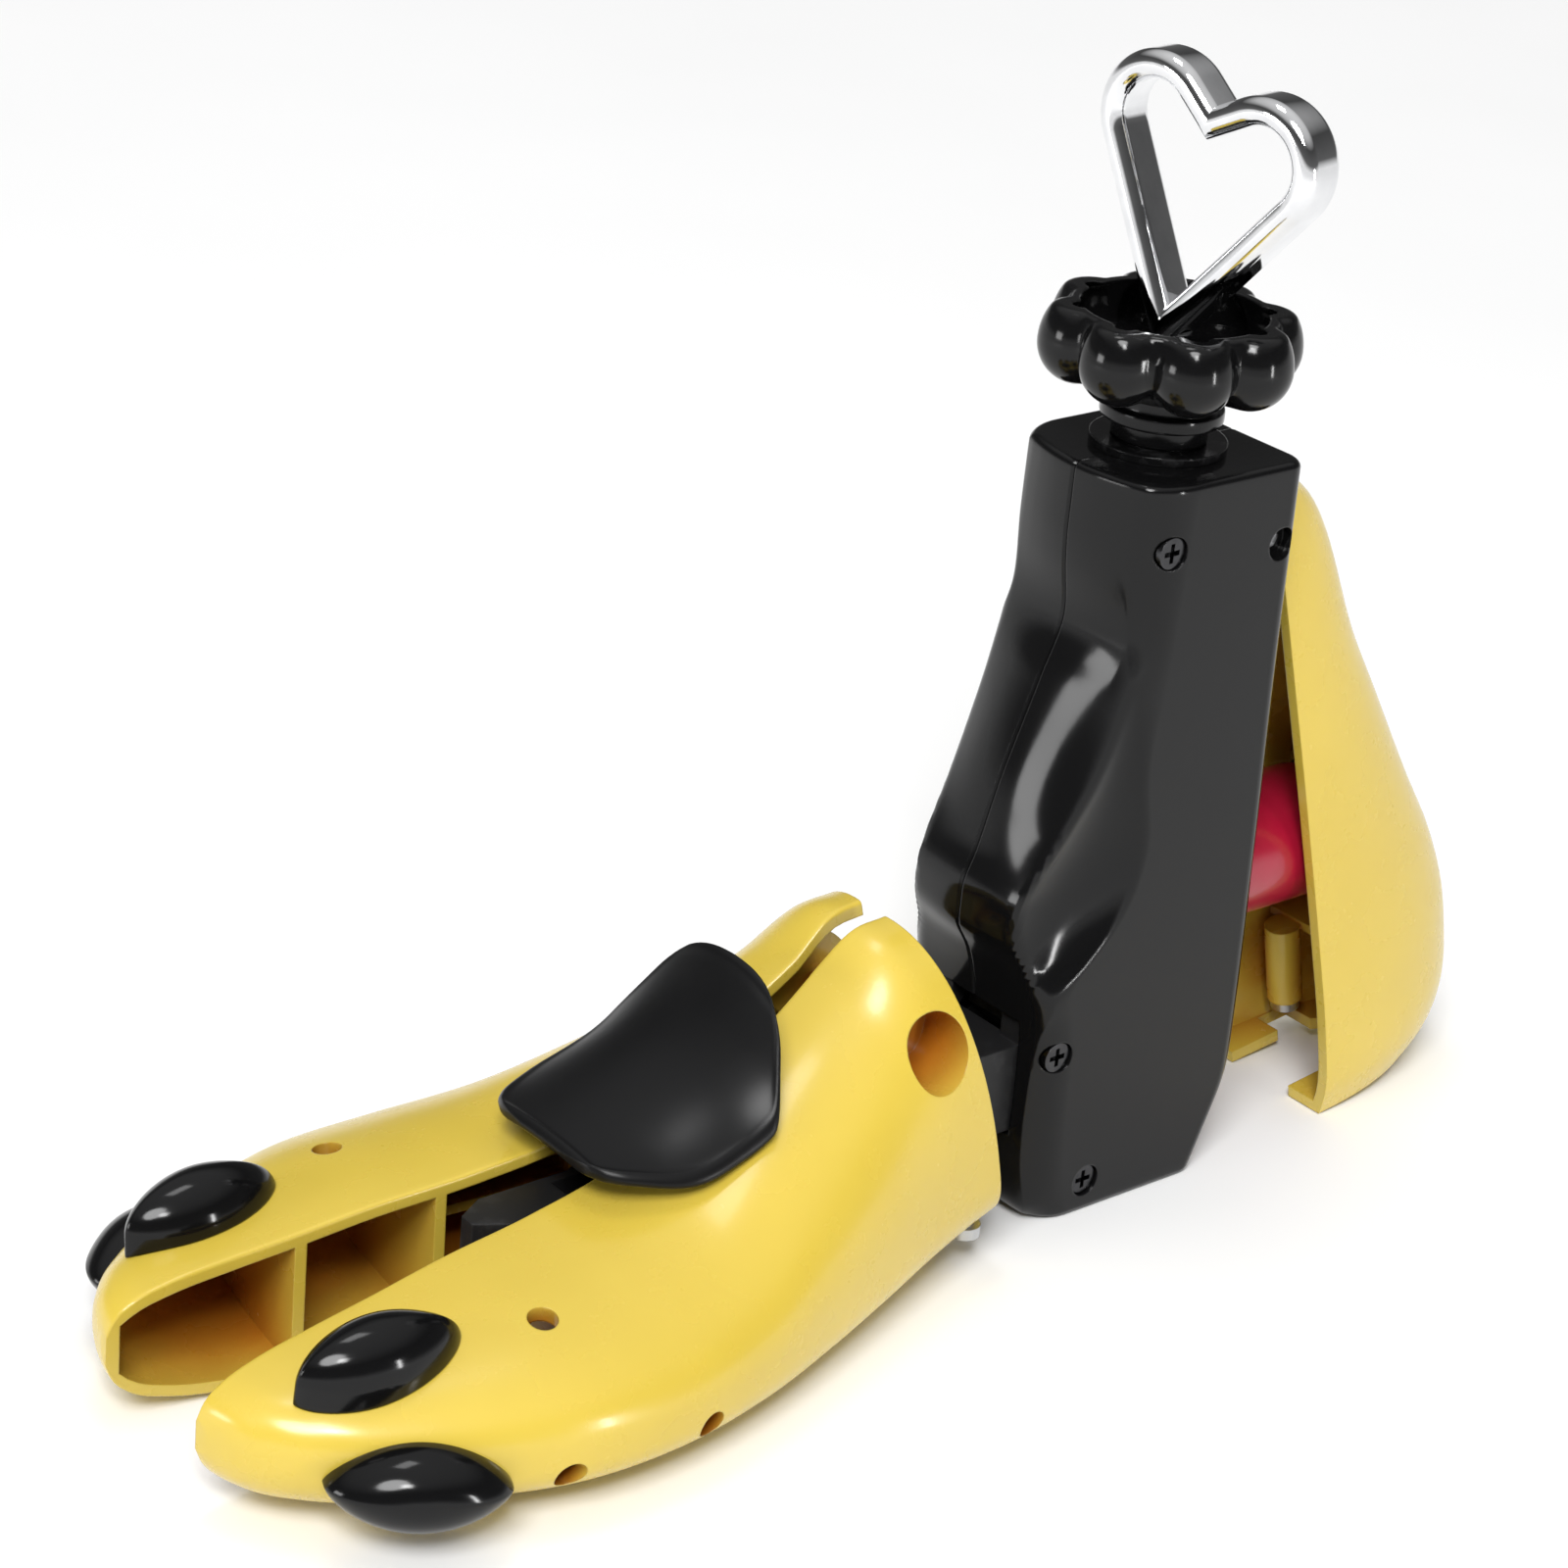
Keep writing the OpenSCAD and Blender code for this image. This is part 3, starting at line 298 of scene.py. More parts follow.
def edge_wear_and_highlight(tree, low=0.56, high=0.70):
    """Share of edge colour, which grows with the sharpness of convex edges and is broken up by noise:
    wear, and on the pad also a painted rim highlight.
    """
    shape = tree.nodes.new("ShaderNodeNewGeometry")
    edges = mapped(tree, shape.outputs["Pointiness"], 0.0, 1.0, low, high)
    breaks = mapped(tree, noise(tree, 420, 4), 0.0, 0.7, 0.5, 0.7)
    return product(tree, edges, breaks)


def skin(tree, shader, scale, strength, distance, soft_edge=0.0004):
    """Fine waviness of a moulded surface over slightly rounded edges."""
    bump = tree.nodes.new("ShaderNodeBump")
    bump.inputs["Strength"].default_value = strength
    bump.inputs["Distance"].default_value = distance
    tree.links.new(noise(tree, scale, 2), bump.inputs["Height"])
    edge = tree.nodes.new("ShaderNodeBevel")
    edge.samples = 4
    edge.inputs["Radius"].default_value = soft_edge
    tree.links.new(edge.outputs["Normal"], bump.inputs["Normal"])
    tree.links.new(bump.outputs["Normal"], shader.inputs["Normal"])


# Share of open view at which a hollow's painted shade is full, and at which it is gone
PAINTED_SHADE_FULL, PAINTED_SHADE_GONE = 0.22, 0.86


def painted_hollow_shade(tree, colour, dark, reach):
    """The colour turning to the dark one deep inside a hollow, as painted shade from ambient
    occlusion.
    """
    shade_node = tree.nodes.new("ShaderNodeAmbientOcclusion")
    shade_node.samples = 8
    shade_node.only_local = True
    shade_node.inputs["Distance"].default_value = reach
    depth = mapped(tree, shade_node.outputs["AO"], 1.0, 0.0, PAINTED_SHADE_FULL, PAINTED_SHADE_GONE)
    return mixed(tree, depth, colour, dark)


def yellow_plastic():
    """Glossy yellow with orange-brown painted shade deep in its hollows."""
    made, tree, shader = material("yellow_gloss", (0.65, 0.48, 0.062), 0.26, coat=0.25,
                                  coat_roughness=0.12)
    tone = mixed(tree, mapped(tree, noise(tree, 28, 3), 0, 1, 0.3, 0.7),
                 (0.63, 0.462, 0.056), (0.67, 0.498, 0.068))
    # Painted shade: the yellow turns orange-brown deep in the hollows, from ambient occlusion
    tone = painted_hollow_shade(tree, tone, (0.40, 0.125, 0.008), 0.022)
    tone = mixed(tree, edge_wear_and_highlight(tree, 0.64, 1.0), tone, (0.74, 0.58, 0.14))
    tree.links.new(tone, shader.inputs["Base Color"])
    tree.links.new(mapped(tree, noise(tree, 90, 4), 0.20, 0.34), shader.inputs["Roughness"])
    shader.inputs["Subsurface Weight"].default_value = 0.05
    shader.inputs["Subsurface Radius"].default_value = (0.003, 0.0015, 0.0004)
    skin(tree, shader, 260, 0.05, 0.0003)
    return made


def black_plastic(name, roughness, wear_and_highlight=0.06, shine=0.28, base=0.0045):
    """Moulded black, with the edges turned to the given grey level: worn, and on the pad also a
    painted rim highlight.
    """
    made, tree, shader = material(name, (base, base, base * 1.06), roughness)
    shader.inputs["Specular IOR Level"].default_value = shine
    tone = mixed(tree, edge_wear_and_highlight(tree), (base, base, base * 1.06), (wear_and_highlight, wear_and_highlight, wear_and_highlight * 1.03))
    tree.links.new(tone, shader.inputs["Base Color"])
    rough = mapped(tree, noise(tree, 70, 5), roughness * 0.75, roughness * 1.35)
    tree.links.new(rough, shader.inputs["Roughness"])
    skin(tree, shader, 180, 0.04, 0.0003)
    return made


def red_plastic():
    """Crimson gloss."""
    made, tree, shader = material("red_gloss", (0.36, 0.006, 0.03), 0.28, coat=0.4)
    tone = mixed(tree, mapped(tree, noise(tree, 60), 0, 1, 0.3, 0.7),
                 (0.33, 0.005, 0.026), (0.40, 0.008, 0.036))
    tree.links.new(tone, shader.inputs["Base Color"])
    skin(tree, shader, 240, 0.05, 0.0003)
    return made


def chrome_plate():
    """Bright plating with faint handling marks."""
    made, tree, shader = material("chrome", (0.86, 0.865, 0.875), 0.05, metallic=1.0)
    tone = mixed(tree, mapped(tree, noise(tree, 140, 5), 0, 1, 0.35, 0.7),
                 (0.86, 0.865, 0.875), (0.74, 0.745, 0.76))
    tree.links.new(tone, shader.inputs["Base Color"])
    rough = mapped(tree, noise(tree, 260, 6, 0.7), 0.025, 0.11, 0.35, 0.8)
    tree.links.new(rough, shader.inputs["Roughness"])
    skin(tree, shader, 75, 0.10, 0.0005, 0.0002)
    return made


def dark_screw_steel():
    """Dark metal for the heads of the screws that are sunk in the column."""
    made, tree, shader = material("dark_screw_steel", (0.05, 0.05, 0.052), 0.25, metallic=1.0)
    tree.links.new(mixed(tree, noise(tree, 600, 4), (0.035, 0.035, 0.037), (0.09, 0.09, 0.094)),
                   shader.inputs["Base Color"])
    skin(tree, shader, 900, 0.06, 0.0001, 0.0002)
    return made


def plated_steel():
    """Brushed steel."""
    made, tree, shader = material("steel", (0.52, 0.53, 0.54), 0.3, metallic=1.0)
    brushed = noise(tree, 500, 4, 0.6, (1, 1, 0.08))
    tree.links.new(mixed(tree, brushed, (0.46, 0.465, 0.475), (0.60, 0.61, 0.62)),
                   shader.inputs["Base Color"])
    tree.links.new(mapped(tree, brushed, 0.2, 0.42), shader.inputs["Roughness"])
    skin(tree, shader, 900, 0.08, 0.0001, 0.0002)
    return made


MATERIALS = {
    "yellow_gloss": yellow_plastic(),
    "black_gloss": black_plastic("black_gloss", 0.11),
    "black_satin": black_plastic("black_satin", 0.38, wear_and_highlight=0.05, base=0.012),
    # The pad's edge grey is much lighter: a painted rim highlight as well as wear
    "pad_black": black_plastic("pad_black", 0.30, wear_and_highlight=0.22, shine=0.2, base=0.006),
    "red_gloss": red_plastic(),
    "chrome": chrome_plate(),
    "steel": plated_steel(),
}
DARK_SCREWS = {"column_screws", "frame_screws"}
SLOT_OF = {part["node"]: part["material_slot"] for part in frame["record"]["subparts"]}
BODY_OF = {node: body for body, nodes in frame["record"]["behaviour"]["bodies"].items()
           for node in nodes}
replaced = set()


def dress(piece, node):
    """The piece stands for the node: it takes its finish, rides on its body and replaces it."""
    slot = SLOT_OF[node]
    piece.data.materials.clear()
    piece.data.materials.append(MATERIALS[slot])
    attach(piece, BODY_OF[node])
    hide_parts(node)
    replaced.add(node)


# Column: its outline as functions of the share of its height, which is 0 at the foot
FRONT_LINE = [(0, SHIN_FRONT - 3.6), (0.02, SHIN_FRONT - 1), (0.09, SHIN_FRONT),
              (0.21, SHIN_FRONT + 0.1), (0.30, SHIN_FRONT + 1), (0.36, SHIN_FRONT + 3.4),
              (0.41, NOSE_FRONT), (0.45, NOSE_FRONT), (0.50, NOSE_FRONT - 2.2),
              (0.594, NOSE_FRONT - 5.8), (0.72, TOP_FRONT + 2), (0.805, TOP_FRONT - 1.6),
              (0.875, TOP_FRONT - 0.4), (0.92, TOP_FRONT), (1, TOP_FRONT)]
NOSE_LINE = [(0, SHIN_FRONT - 4), (0.02, SHIN_FRONT - 1.3), (0.09, SHIN_FRONT - 0.4),
             (0.21, SHIN_FRONT - 0.2), (0.30, SHIN_FRONT + 0.7), (0.36, SHIN_FRONT + 2.8),
             (0.41, NOSE_FRONT - 1.2), (0.45, NOSE_FRONT - 0.9), (0.484, NOSE_FRONT - 2.6),
             (0.55, NOSE_FRONT - 7.4), (0.625, NOSE_FRONT - 12), (0.72, TOP_FRONT - 1.6),
             (0.82, TOP_FRONT - 3.5), (0.9, TOP_FRONT - 3.2), (1, TOP_FRONT - 3.2)]
NOSE_WIDTH = [(0, COL_HALF_W - 2.2), (0.02, COL_HALF_W - 1.6), (0.21, COL_HALF_W - 1.4),
              (0.30, COL_HALF_W - 1.8), (0.36, COL_HALF_W - 2.9), (0.41, NOSE_HALF_W + 0.2),
              (0.455, NOSE_HALF_W), (0.484, NOSE_HALF_W + 0.5), (0.55, NOSE_HALF_W + 1.8),
              (0.625, COL_HALF_W - 1.4), (0.72, COL_HALF_W - 1.2), (0.82, COL_HALF_W - 1.6),
              (0.9, COL_HALF_W - 2.1), (1, COL_HALF_W - 2.6)]
FLAT_LINE = [(0, 19.4), (0.1, 22), (0.30, 22.3), (0.344, 21.5), (0.372, 18), (0.414, 13),
             (0.47, 9.4), (0.523, 8.4), (0.606, 10.2), (0.72, 11.2), (0.82, 12.2), (0.9, 12),
             (1, 11.5)]
REAR_LINE = [(0, FOOT_REAR), (0.06, FOOT_REAR + 3), (0.13, SHIN_REAR - 0.5), (0.18, SHIN_REAR),
             (0.45, SHIN_REAR - 1), (0.72, TOP_REAR + 1), (1, TOP_REAR)]
FACET_BULGE = [(0, 0.6), (0.30, 0.6), (0.344, 0.3), (0.372, -0.4 * SCOOP), (0.42, -0.8 * SCOOP),
               (0.484, -SCOOP), (0.606, -0.6 * SCOOP), (0.72, -0.2 * SCOOP), (0.82, 0),
               (0.9, 0.6), (1, 0.7)]
REAR_ROUND, EDGE_ROUND, SEAM, SEAM_DEPTH = 3.4, 1.2, 0.05, 0.4
RIDGE_ROUND = [(0, 3.2), (0.30, 2.6), (0.38, 1.4), (0.5, 1.6), (0.7, 2.4), (1, 3)]
FLAT_ROUND = [(0, 4.4), (0.26, 3.6), (0.36, 1.1), (0.62, 1.1), (0.80, 4.4), (1, 5)]


def blended_corner(points, index, reach, count=5):
    """The corner at index gives way to a quadratic arc that starts reach away on both sides."""
    before, corner, after = (Vector(points[k]) for k in (index - 1, index, index + 1))
    start = corner + (before - corner).normalized() * min(reach, (before - corner).length * 0.9)
    end = corner + (after - corner).normalized() * min(reach, (after - corner).length * 0.9)
    return [start * (1 - t) ** 2 + corner * 2 * t * (1 - t) + end * t * t
            for t in spread_out(0, 1, count)]


def point_along(points, distance):
    """Place at a distance along a run of points."""
    for a, b in zip(points, points[1:]):
        step = (Vector(b) - Vector(a)).length
        if distance <= step:
            return Vector(a).lerp(Vector(b), distance / step)
        distance -= step
    return Vector(points[-1])


def blended_run(points, index, reach, count=9):
    """The run with its corner at index rounded from reach before it to reach after it."""
    before, after = points[index::-1], points[index:]
    start, end = point_along(before, reach), point_along(after, reach)
    corner = Vector(points[index])
    arc = [start * (1 - t) ** 2 + corner * 2 * t * (1 - t) + end * t * t
           for t in spread_out(0, 1, count)]
    head = run_up_to(points[:index + 1], reach)
    tail = run_up_to(points[index:][::-1], reach)[::-1]
    return head + arc + tail


def run_up_to(points, reach):
    """As many points as the run has, spread evenly up to where the rounding at its end begins."""
    whole = sum((Vector(b) - Vector(a)).length for a, b in zip(points, points[1:]))
    count = len(points)
    return [point_along(points, max(0, whole - reach) * i / count) for i in range(count)]


def column_ring(q, t, split):
    """Near outline of the column at share q of its height, set in by t, open at y = split."""
    z = q * COL_H
    f = smooth_curve(FRONT_LINE, q) - t
    nx = smooth_curve(NOSE_LINE, q) - t
    n = smooth_curve(NOSE_WIDTH, q) - 0.8 * t
    w = COL_HALF_W - t
    b = min(smooth_curve(FLAT_LINE, q), nx - 1)
    r = smooth_curve(REAR_LINE, q) - t
    bulge = smooth_curve(FACET_BULGE, q)
    across = Vector((nx - b, n - w))
    out = Vector((across.y, -across.x)) / across.length
    front = [(-f + (f - nx) * u * u, -n * u, z) for u in spread_out(0, 1, 11)[1:]]
    side = [(-nx + across.x * v + out.x * bulge * 4 * v * (1 - v),
             -n + across.y * v + out.y * bulge * 4 * v * (1 - v), z)
            for v in spread_out(0, 1, 11)[1:]]
    points = front + side + [(r - REAR_ROUND, -w, z)]
    ridge, flat = len(front) - 1, len(front) + len(side) - 1
    points = blended_run(points[:flat], ridge, smooth_curve(RIDGE_ROUND, q)) + points[flat:]
    points = blended_run(points, len(points) - 2, smooth_curve(FLAT_ROUND, q))[:-1]
    rear = [(r - REAR_ROUND + REAR_ROUND * cos(a), -w + REAR_ROUND + REAR_ROUND * sin(a), z)
            for a in spread_out(270, 360, 9)]
    if split > 0:
        return [(-f, split, z)] + points + rear + [(r, split, z)]
    return ([(-f + SEAM_DEPTH, split, z), (-f, split - SEAM_DEPTH, z)] + points + rear
            + [(r, split - SEAM_DEPTH, z), (r - SEAM_DEPTH, split, z)])


def end_rounding(q, radius):
    """Inset that rounds the column's top and bottom edges."""
    depth = min(q, 1 - q) * COL_H
    return 0 if depth >= radius else radius - math.sqrt(max(0, radius ** 2 - (radius - depth) ** 2))


def column_half(name, screws):
    """Near shell of the column, with a hole and a sunk head for each screw at (x, z)."""
    stations = [0, 0.0012, 0.003, 0.006, 0.0094] + spread_out(0.02, 0.98, 97)
    stations += [0.9906, 0.994, 0.997, 0.9988, 1]
    shell = loft(name, [column_ring(q, end_rounding(q, EDGE_ROUND), -SEAM) for q in stations])
    inner = [COL_WALL / COL_H + (1 - 2 * COL_WALL / COL_H) * i / 30 for i in range(31)]
    room = loft("tool", [column_ring(q, COL_WALL, OVER) for q in inner])
    low_y = -COL_HALF_W + COL_WALL / 2
    bosses = [(TOP_SCREW, 0), (FOOT_SCREW, 0), (FRAME_SCREW, -FRAME_HALF_W - 0.5),
              (HEEL_PIN, -EAR_OUT - PART_GAP)]
    combine(room, [rod((x, low_y, z), (x, y + OVER, z), BOSS_R) for (x, z), y in bosses])
    combine(shell, [room])
    cuts = [rod((0, 0, COL_H - 2 * COL_WALL), (0, 0, COL_H + 4), BUSH_R + SEAT_GAP),
            rod((PLUNGER_BASE + 2, 0, PLUNGER_Z), (SHIN_REAR + OVER, 0, PLUNGER_Z), GUIDE_R),
            block((-SHIN_FRONT - 8, -FRAME_HALF_W - PART_GAP, FRAME_SLOT_Z[0]),
                  (-SHIN_FRONT + 5, OVER, FRAME_SLOT_Z[1])),
            block((HEEL_PIN[0] + 0.4, -EAR_OUT - PART_GAP, EAR_SLOT_Z[0]),
                  (TOP_REAR + 8, -EAR_IN + PART_GAP, EAR_SLOT_Z[1]))]
    for x, z in screws:
        cuts.append(rod((x, -COL_HALF_W - OVER, z), (x, OVER, z), SCREW_R + SEAT_GAP, sides=32))
        cuts.append(rod((x, -COL_HALF_W - OVER, z), (x, -COL_HALF_W + SINK_DEPTH, z), SINK_R))
    return combine(shell, cuts)


near_column = column_half("near_column_shell_skin",
                          [FRAME_SCREW, HEEL_PIN, TOP_SCREW, FOOT_SCREW])
far_side = column_half("tool", [FRAME_SCREW, HEEL_PIN])
far_column = mirrored(far_side, "far_column_shell_skin")
bpy.data.objects.remove(far_side)
for shell, node in ((near_column, "near_column_shell"), (far_column, "far_column_shell")):
    shade(shell, 30)
    dress(shell, node)

# Petal knob. The cup's core is drawn for a knob of radius CORE_FOR_R, and grows with the knob
CUP_CORE = [(-13.5, 9), (-12, 11.5), (-10.5, 14.4), (-8.5, 16.6), (-6.1, 17.4), (-3, 17.2),
            (0, 16.4)]
CORE_FOR_R = 21.2
PETAL_R, CUP_MIDDLE, PETAL_STRETCH, VALLEY_BLEND = 6.6, -6.1, 0.78, 0.5
CUP_WALL, CUP_LOW, RIM_ROUND = 1.8, -13.5, 0.7
CUP_RIM = COL_H + KNOB_RISE
KNOB_BASE = COL_H + COLLAR_H + PART_GAP
CUP_FLOOR = CUP_RIM - 7.6
CUP_MOUTH = [(-0.2, 1.7), (0.0, 1.45), (0.3, 1.2)]
NECK = [(7.7, 0), (7.7, 2.8), (9.4, 3), (9.8, 3.2), (9.9, 3.6), (9.9, 4.8), (9.8, 5.2),
        (9.4, 5.4), (8.5, 5.5), (8.3, 5.8), (8.3, CUP_RIM - 12.9 - KNOB_BASE)]


def petal_edge(a, z, t):
    """Radius of the petal cup at angle a and height z over its rim, set in by t."""
    centre = KNOB_R - PETAL_R
    pitch = 360 / PETALS
    off = centre * sin(a % pitch - pitch / 2)
    stretch = PETAL_STRETCH if z > CUP_MIDDLE else 1
    lobe = (PETAL_R - t) ** 2 - ((z - CUP_MIDDLE) * stretch) ** 2
    core = smooth_curve(CUP_CORE, z) * KNOB_R / CORE_FOR_R - t
    if lobe <= off * off:
        return core
    reach = math.sqrt(centre ** 2 - off ** 2) + math.sqrt(lobe - off * off)
    gap = reach - core
    return core + (gap + math.sqrt(gap * gap + VALLEY_BLEND * VALLEY_BLEND)) / 2


def petal_ring(z, t, sides=192):
    """Ring of the cup at height z over its rim, set in by t."""
    return [(petal_edge(a + HEART_TURN, z, t) * cos(a), petal_edge(a + HEART_TURN, z, t) * sin(a),
             CUP_RIM + z) for a in (360 * i / sides for i in range(sides))]


def petal_knob():
    """Cup with petals and a rounded rim on a flanged neck, bored for the sleeve and the spindle."""
    heights = spread_out(CUP_LOW, -RIM_ROUND, 42)
    rim = [(-RIM_ROUND + RIM_ROUND * sin(a), RIM_ROUND - RIM_ROUND * cos(a))
           for a in (25, 45, 65, 80, 90)]
    cup = loft("petal_knob_skin", [petal_ring(z, 0) for z in heights]
               + [petal_ring(z, t) for z, t in rim])
    walls = [petal_ring(z, CUP_WALL) for z in spread_out(CUP_FLOOR - CUP_RIM, -0.5, 14)]
    mouth = [petal_ring(z, t) for z, t in CUP_MOUTH]
    combine(cup, [loft("tool", walls + mouth)])
    neck = [[(r * cos(a), r * sin(a), KNOB_BASE + z) for a in (360 * i / 96 for i in range(96))]
            for r, z in NECK]
    combine(cup, [loft("tool", neck)], "UNION")
    return combine(cup, [rod((0, 0, KNOB_BASE - OVER), (0, 0, CUP_FLOOR - 2), SLEEVE_R + SEAT_GAP),
                         rod((0, 0, KNOB_BASE), (0, 0, CUP_RIM + 2), SPINDLE_R + PART_GAP)])


knob = shade(petal_knob(), 38)
dress(knob, "petal_knob")

# Heart handle: a rounded band bent to a heart, on a stub in the spindle
NOTCH_ANGLE = 125
TIP_Z = CUP_RIM - 3
SPINDLE_TOP = COL_H + KNOB_RISE - 7.4


def heart_side():
    """Right side of the heart from tip to notch: (x, z, direction x, direction z)."""
    half = HEART_W / 2 - LOBE_R - BAND_HALF
    reach = math.hypot(half, LOBE_H)
    leg = math.degrees(math.atan2(LOBE_H, half) - math.asin(LOBE_R / reach))
    run = (half + LOBE_R * cos(NOTCH_ANGLE)) / sin(NOTCH_ANGLE)
    start = leg - 90
    bottom = Vector((half + LOBE_R * cos(start), LOBE_H + LOBE_R * sin(start)))
    legs = [(bottom.x * s, bottom.y * s, cos(leg), sin(leg)) for s in spread_out(0, 1, 14)[:-1]]
    arc = [(half + LOBE_R * cos(a), LOBE_H + LOBE_R * sin(a), -sin(a), cos(a))
           for a in spread_out(start, NOTCH_ANGLE, 48)]
    x, z = arc[-1][0], arc[-1][1]
    notch = (0, LOBE_H + LOBE_R * sin(NOTCH_ANGLE) + run * cos(NOTCH_ANGLE))
    ends = [(x + (notch[0] - x) * s, z + (notch[1] - z) * s, -sin(NOTCH_ANGLE), cos(NOTCH_ANGLE))
            for s in spread_out(0, 1, 8)[1:]]
    return legs + arc + ends


def band_ring(p, sides=40):
    """Section of the band: a flat oval with full round edges, mitred in the middle plane."""
    ring = []
    for j in range(sides):
        a = 360 * (j + 0.5) / sides
        s = BAND_HALF * cos(a)
        y = math.copysign(BAND_DEPTH / 2 - BAND_HALF, sin(a)) + BAND_HALF * sin(a)
        if abs(p[0]) < 1e-9:
            ring.append((0, y, p[1] - s / p[2]))
        else:
            ring.append((p[0] + s * p[3], y, p[1] - s * p[2]))
    return ring


def heart_handle():
    """The heart, leaned and turned, on its stub."""
    right = heart_side()
    left = [(-p[0], p[1], p[2], -p[3]) for p in right[-2:0:-1]]
    lean = (Matrix.Translation((0, 0, TIP_Z)) @ Matrix.Rotation(math.radians(HEART_TURN), 4, "Z")
            @ Matrix.Rotation(math.radians(HEART_LEAN), 4, "Y"))
    heart = loft("heart_handle_skin", [band_ring(p) for p in right + left], lean, closed=True)
    stub = rod((0, 0, SPINDLE_TOP), (0, 0, TIP_Z - 0.6), SPINDLE_R - PART_GAP, sides=48)
    return combine(heart, [stub], "UNION")


heart = shade(heart_handle(), 50)
dress(heart, "heart_handle")

# Forefoot halves: their outline as functions of the share of their length, which is 0 at the rear
HALF_SIDE = [(0, 0.624), (0.054, 0.65), (0.129, 0.70), (0.218, 0.775), (0.327, 0.865),
             (0.449, 0.955), (0.578, 1), (0.70, 0.955), (0.789, 0.83), (0.864, 0.68),
             (0.932, 0.5), (0.973, 0.335), (0.993, 0.185), (1, 0.06)]
HALF_TOP = [(0, INSTEP_H), (0.054, INSTEP_H - 1), (0.129, INSTEP_H - 7.4),
            (0.218, INSTEP_H - 14.1), (0.327, TOE_H + 14.2), (0.449, TOE_H + 7),
            (0.578, TOE_H + 4.1), (0.70, TOE_H + 2.8), (0.789, TOE_H + 1.2), (0.864, TOE_H),
            (0.932, TOE_H - 1.4), (0.973, TOE_H - 3.3), (0.993, TOE_H - 5.7), (1, TOE_H - 8)]
HALF_SOLE = [(0, 6), (0.054, 4.8), (0.129, 3.2), (0.218, 1.8), (0.327, 0.6), (0.449, 0),
             (0.70, 0), (0.789, 0.1), (0.864, 0.7), (0.932, 2.6), (0.973, 5.2), (0.993, 8.4),
             (1, 11)]
HALF_UPPER = [(0, 0.9), (0.5, 0.9), (0.8, 0.8), (1, 0.8)]
HALF_LOWER = [(0, 0.6), (0.5, 0.64), (0.7, 0.76), (0.85, 0.9), (1, 0.94)]
HALF_WIDE = [(0, 20), (0.129, 18), (0.327, 15), (0.578, 12.4), (0.789, 12), (1, 13.6)]
HALF_RAKE = [(0, 0.26), (0.129, 0.205), (0.327, 0.115), (0.449, 0.065), (0.578, 0.025),
             (0.70, 0), (1, 0)]
TOE_RIB, BALL_RIB, RIB_T, BAY_END = -149, -125, 2, 0.985
# The finger socket is 1 mm further forward and 0.4 mm narrower than the part's, to keep its rim
FINGER, FINGER_R, FINGER_FLOOR = (-53.8, 42.9), 6.1, -11.6
HALF_SCREW = (-41.5, -19.5)
SPRING_POST, SPRING_POST_R = (-66, -13), 2.1
RAIL_Z, RAIL_T = (14, 20), 1.8
SPARE_TOP, SPARE_SIDE_X, SPARE_SIDE_Z = (-134.1, -21), (-115, -140), 8.6
PAST_SIDE, PAST_SOLE = -60, -3
CAM, CAM_R, LIFTER_X = (-95, -7.6), 3, -95.5
WEDGE_TOP, WEDGE_BODY = 25, 10.733
KNUCKLE_R, KNUCKLE_TOP = 4.4, 43.5
PLUG_SKIRT, PEG_LEN, PEG_HOLE = 5, 7, 9
TOP_PEG = (-158.7, -14.3, 23.9, 6, 0)
SIDE_PEG = (-160.9, -26.8, 10.9, 82, -31)


def half_ring(q, t, rim, steps):
    """Near ring of the forefoot at share q from the rear, set in by t, open at y = -rim."""
    x = -FOOT_GAP - q * FOOT_LEN
    wide = smooth_curve(HALF_SIDE, q) * BALL_HALF_W - t - rim
    low, up = smooth_curve(HALF_LOWER, q), smooth_curve(HALF_UPPER, q)
    top, sole = smooth_curve(HALF_TOP, q) - t, smooth_curve(HALF_SOLE, q) + t
    mid, rake = smooth_curve(HALF_WIDE, q), smooth_curve(HALF_RAKE, q)
    ring = []
    for i in range(steps):
        a = 90 * (i / steps) ** 1.15
        ring.append((rim + wide * power(sin(a), low), mid - (mid - sole) * power(cos(a), low)))
    for i in range(steps + 1):
        a = 90 - 90 * (1 - i / steps) ** 1.15
        ring.append((rim + wide * power(cos(a), up), mid + (top - mid) * power(sin(a), up)))
    return [(x - rake * c[1], -c[0], c[1]) for c in ring]


def rim_at(q):
    """Distance of the half's open side from the middle plane, wider near the hinges."""
    return 1 + 1.8 * max(0, 1 - q * FOOT_LEN / 17)


def softened(ring, reach=0.7, count=4):
    """The ring with its two corners at the open side rounded."""
    around = [ring[-1]] + list(ring) + [ring[0]]
    first = blended_corner(around, 1, reach, count)
    last = blended_corner(around, len(around) - 2, reach, count)
    return first + list(ring[1:-1]) + last


def share_at(x):
    """Share of the half's length at which x lies."""
    return (-FOOT_GAP - x) / FOOT_LEN


def half_solid(name, t, steps=30, rounded=True):
    """The half without its hollows, set in by t."""
    stations = spread_out(0, 0.9, 92)[:-1] + spread_out(0.9, 0.98, 16)[:-1]
    stations += spread_out(0.98, 1, 12)
    rings = [half_ring(q, t, rim_at(q), steps) for q in stations]
    return loft(name, [softened(r) if rounded else r for r in rings])


def half_bay(q0, q1, n):
    """Hollow of the half between two shares of its length."""
    return loft("tool", [half_ring(q0 + (q1 - q0) * i / n, FOOT_WALL, -OVER, 24)
                         for i in range(n + 1)])


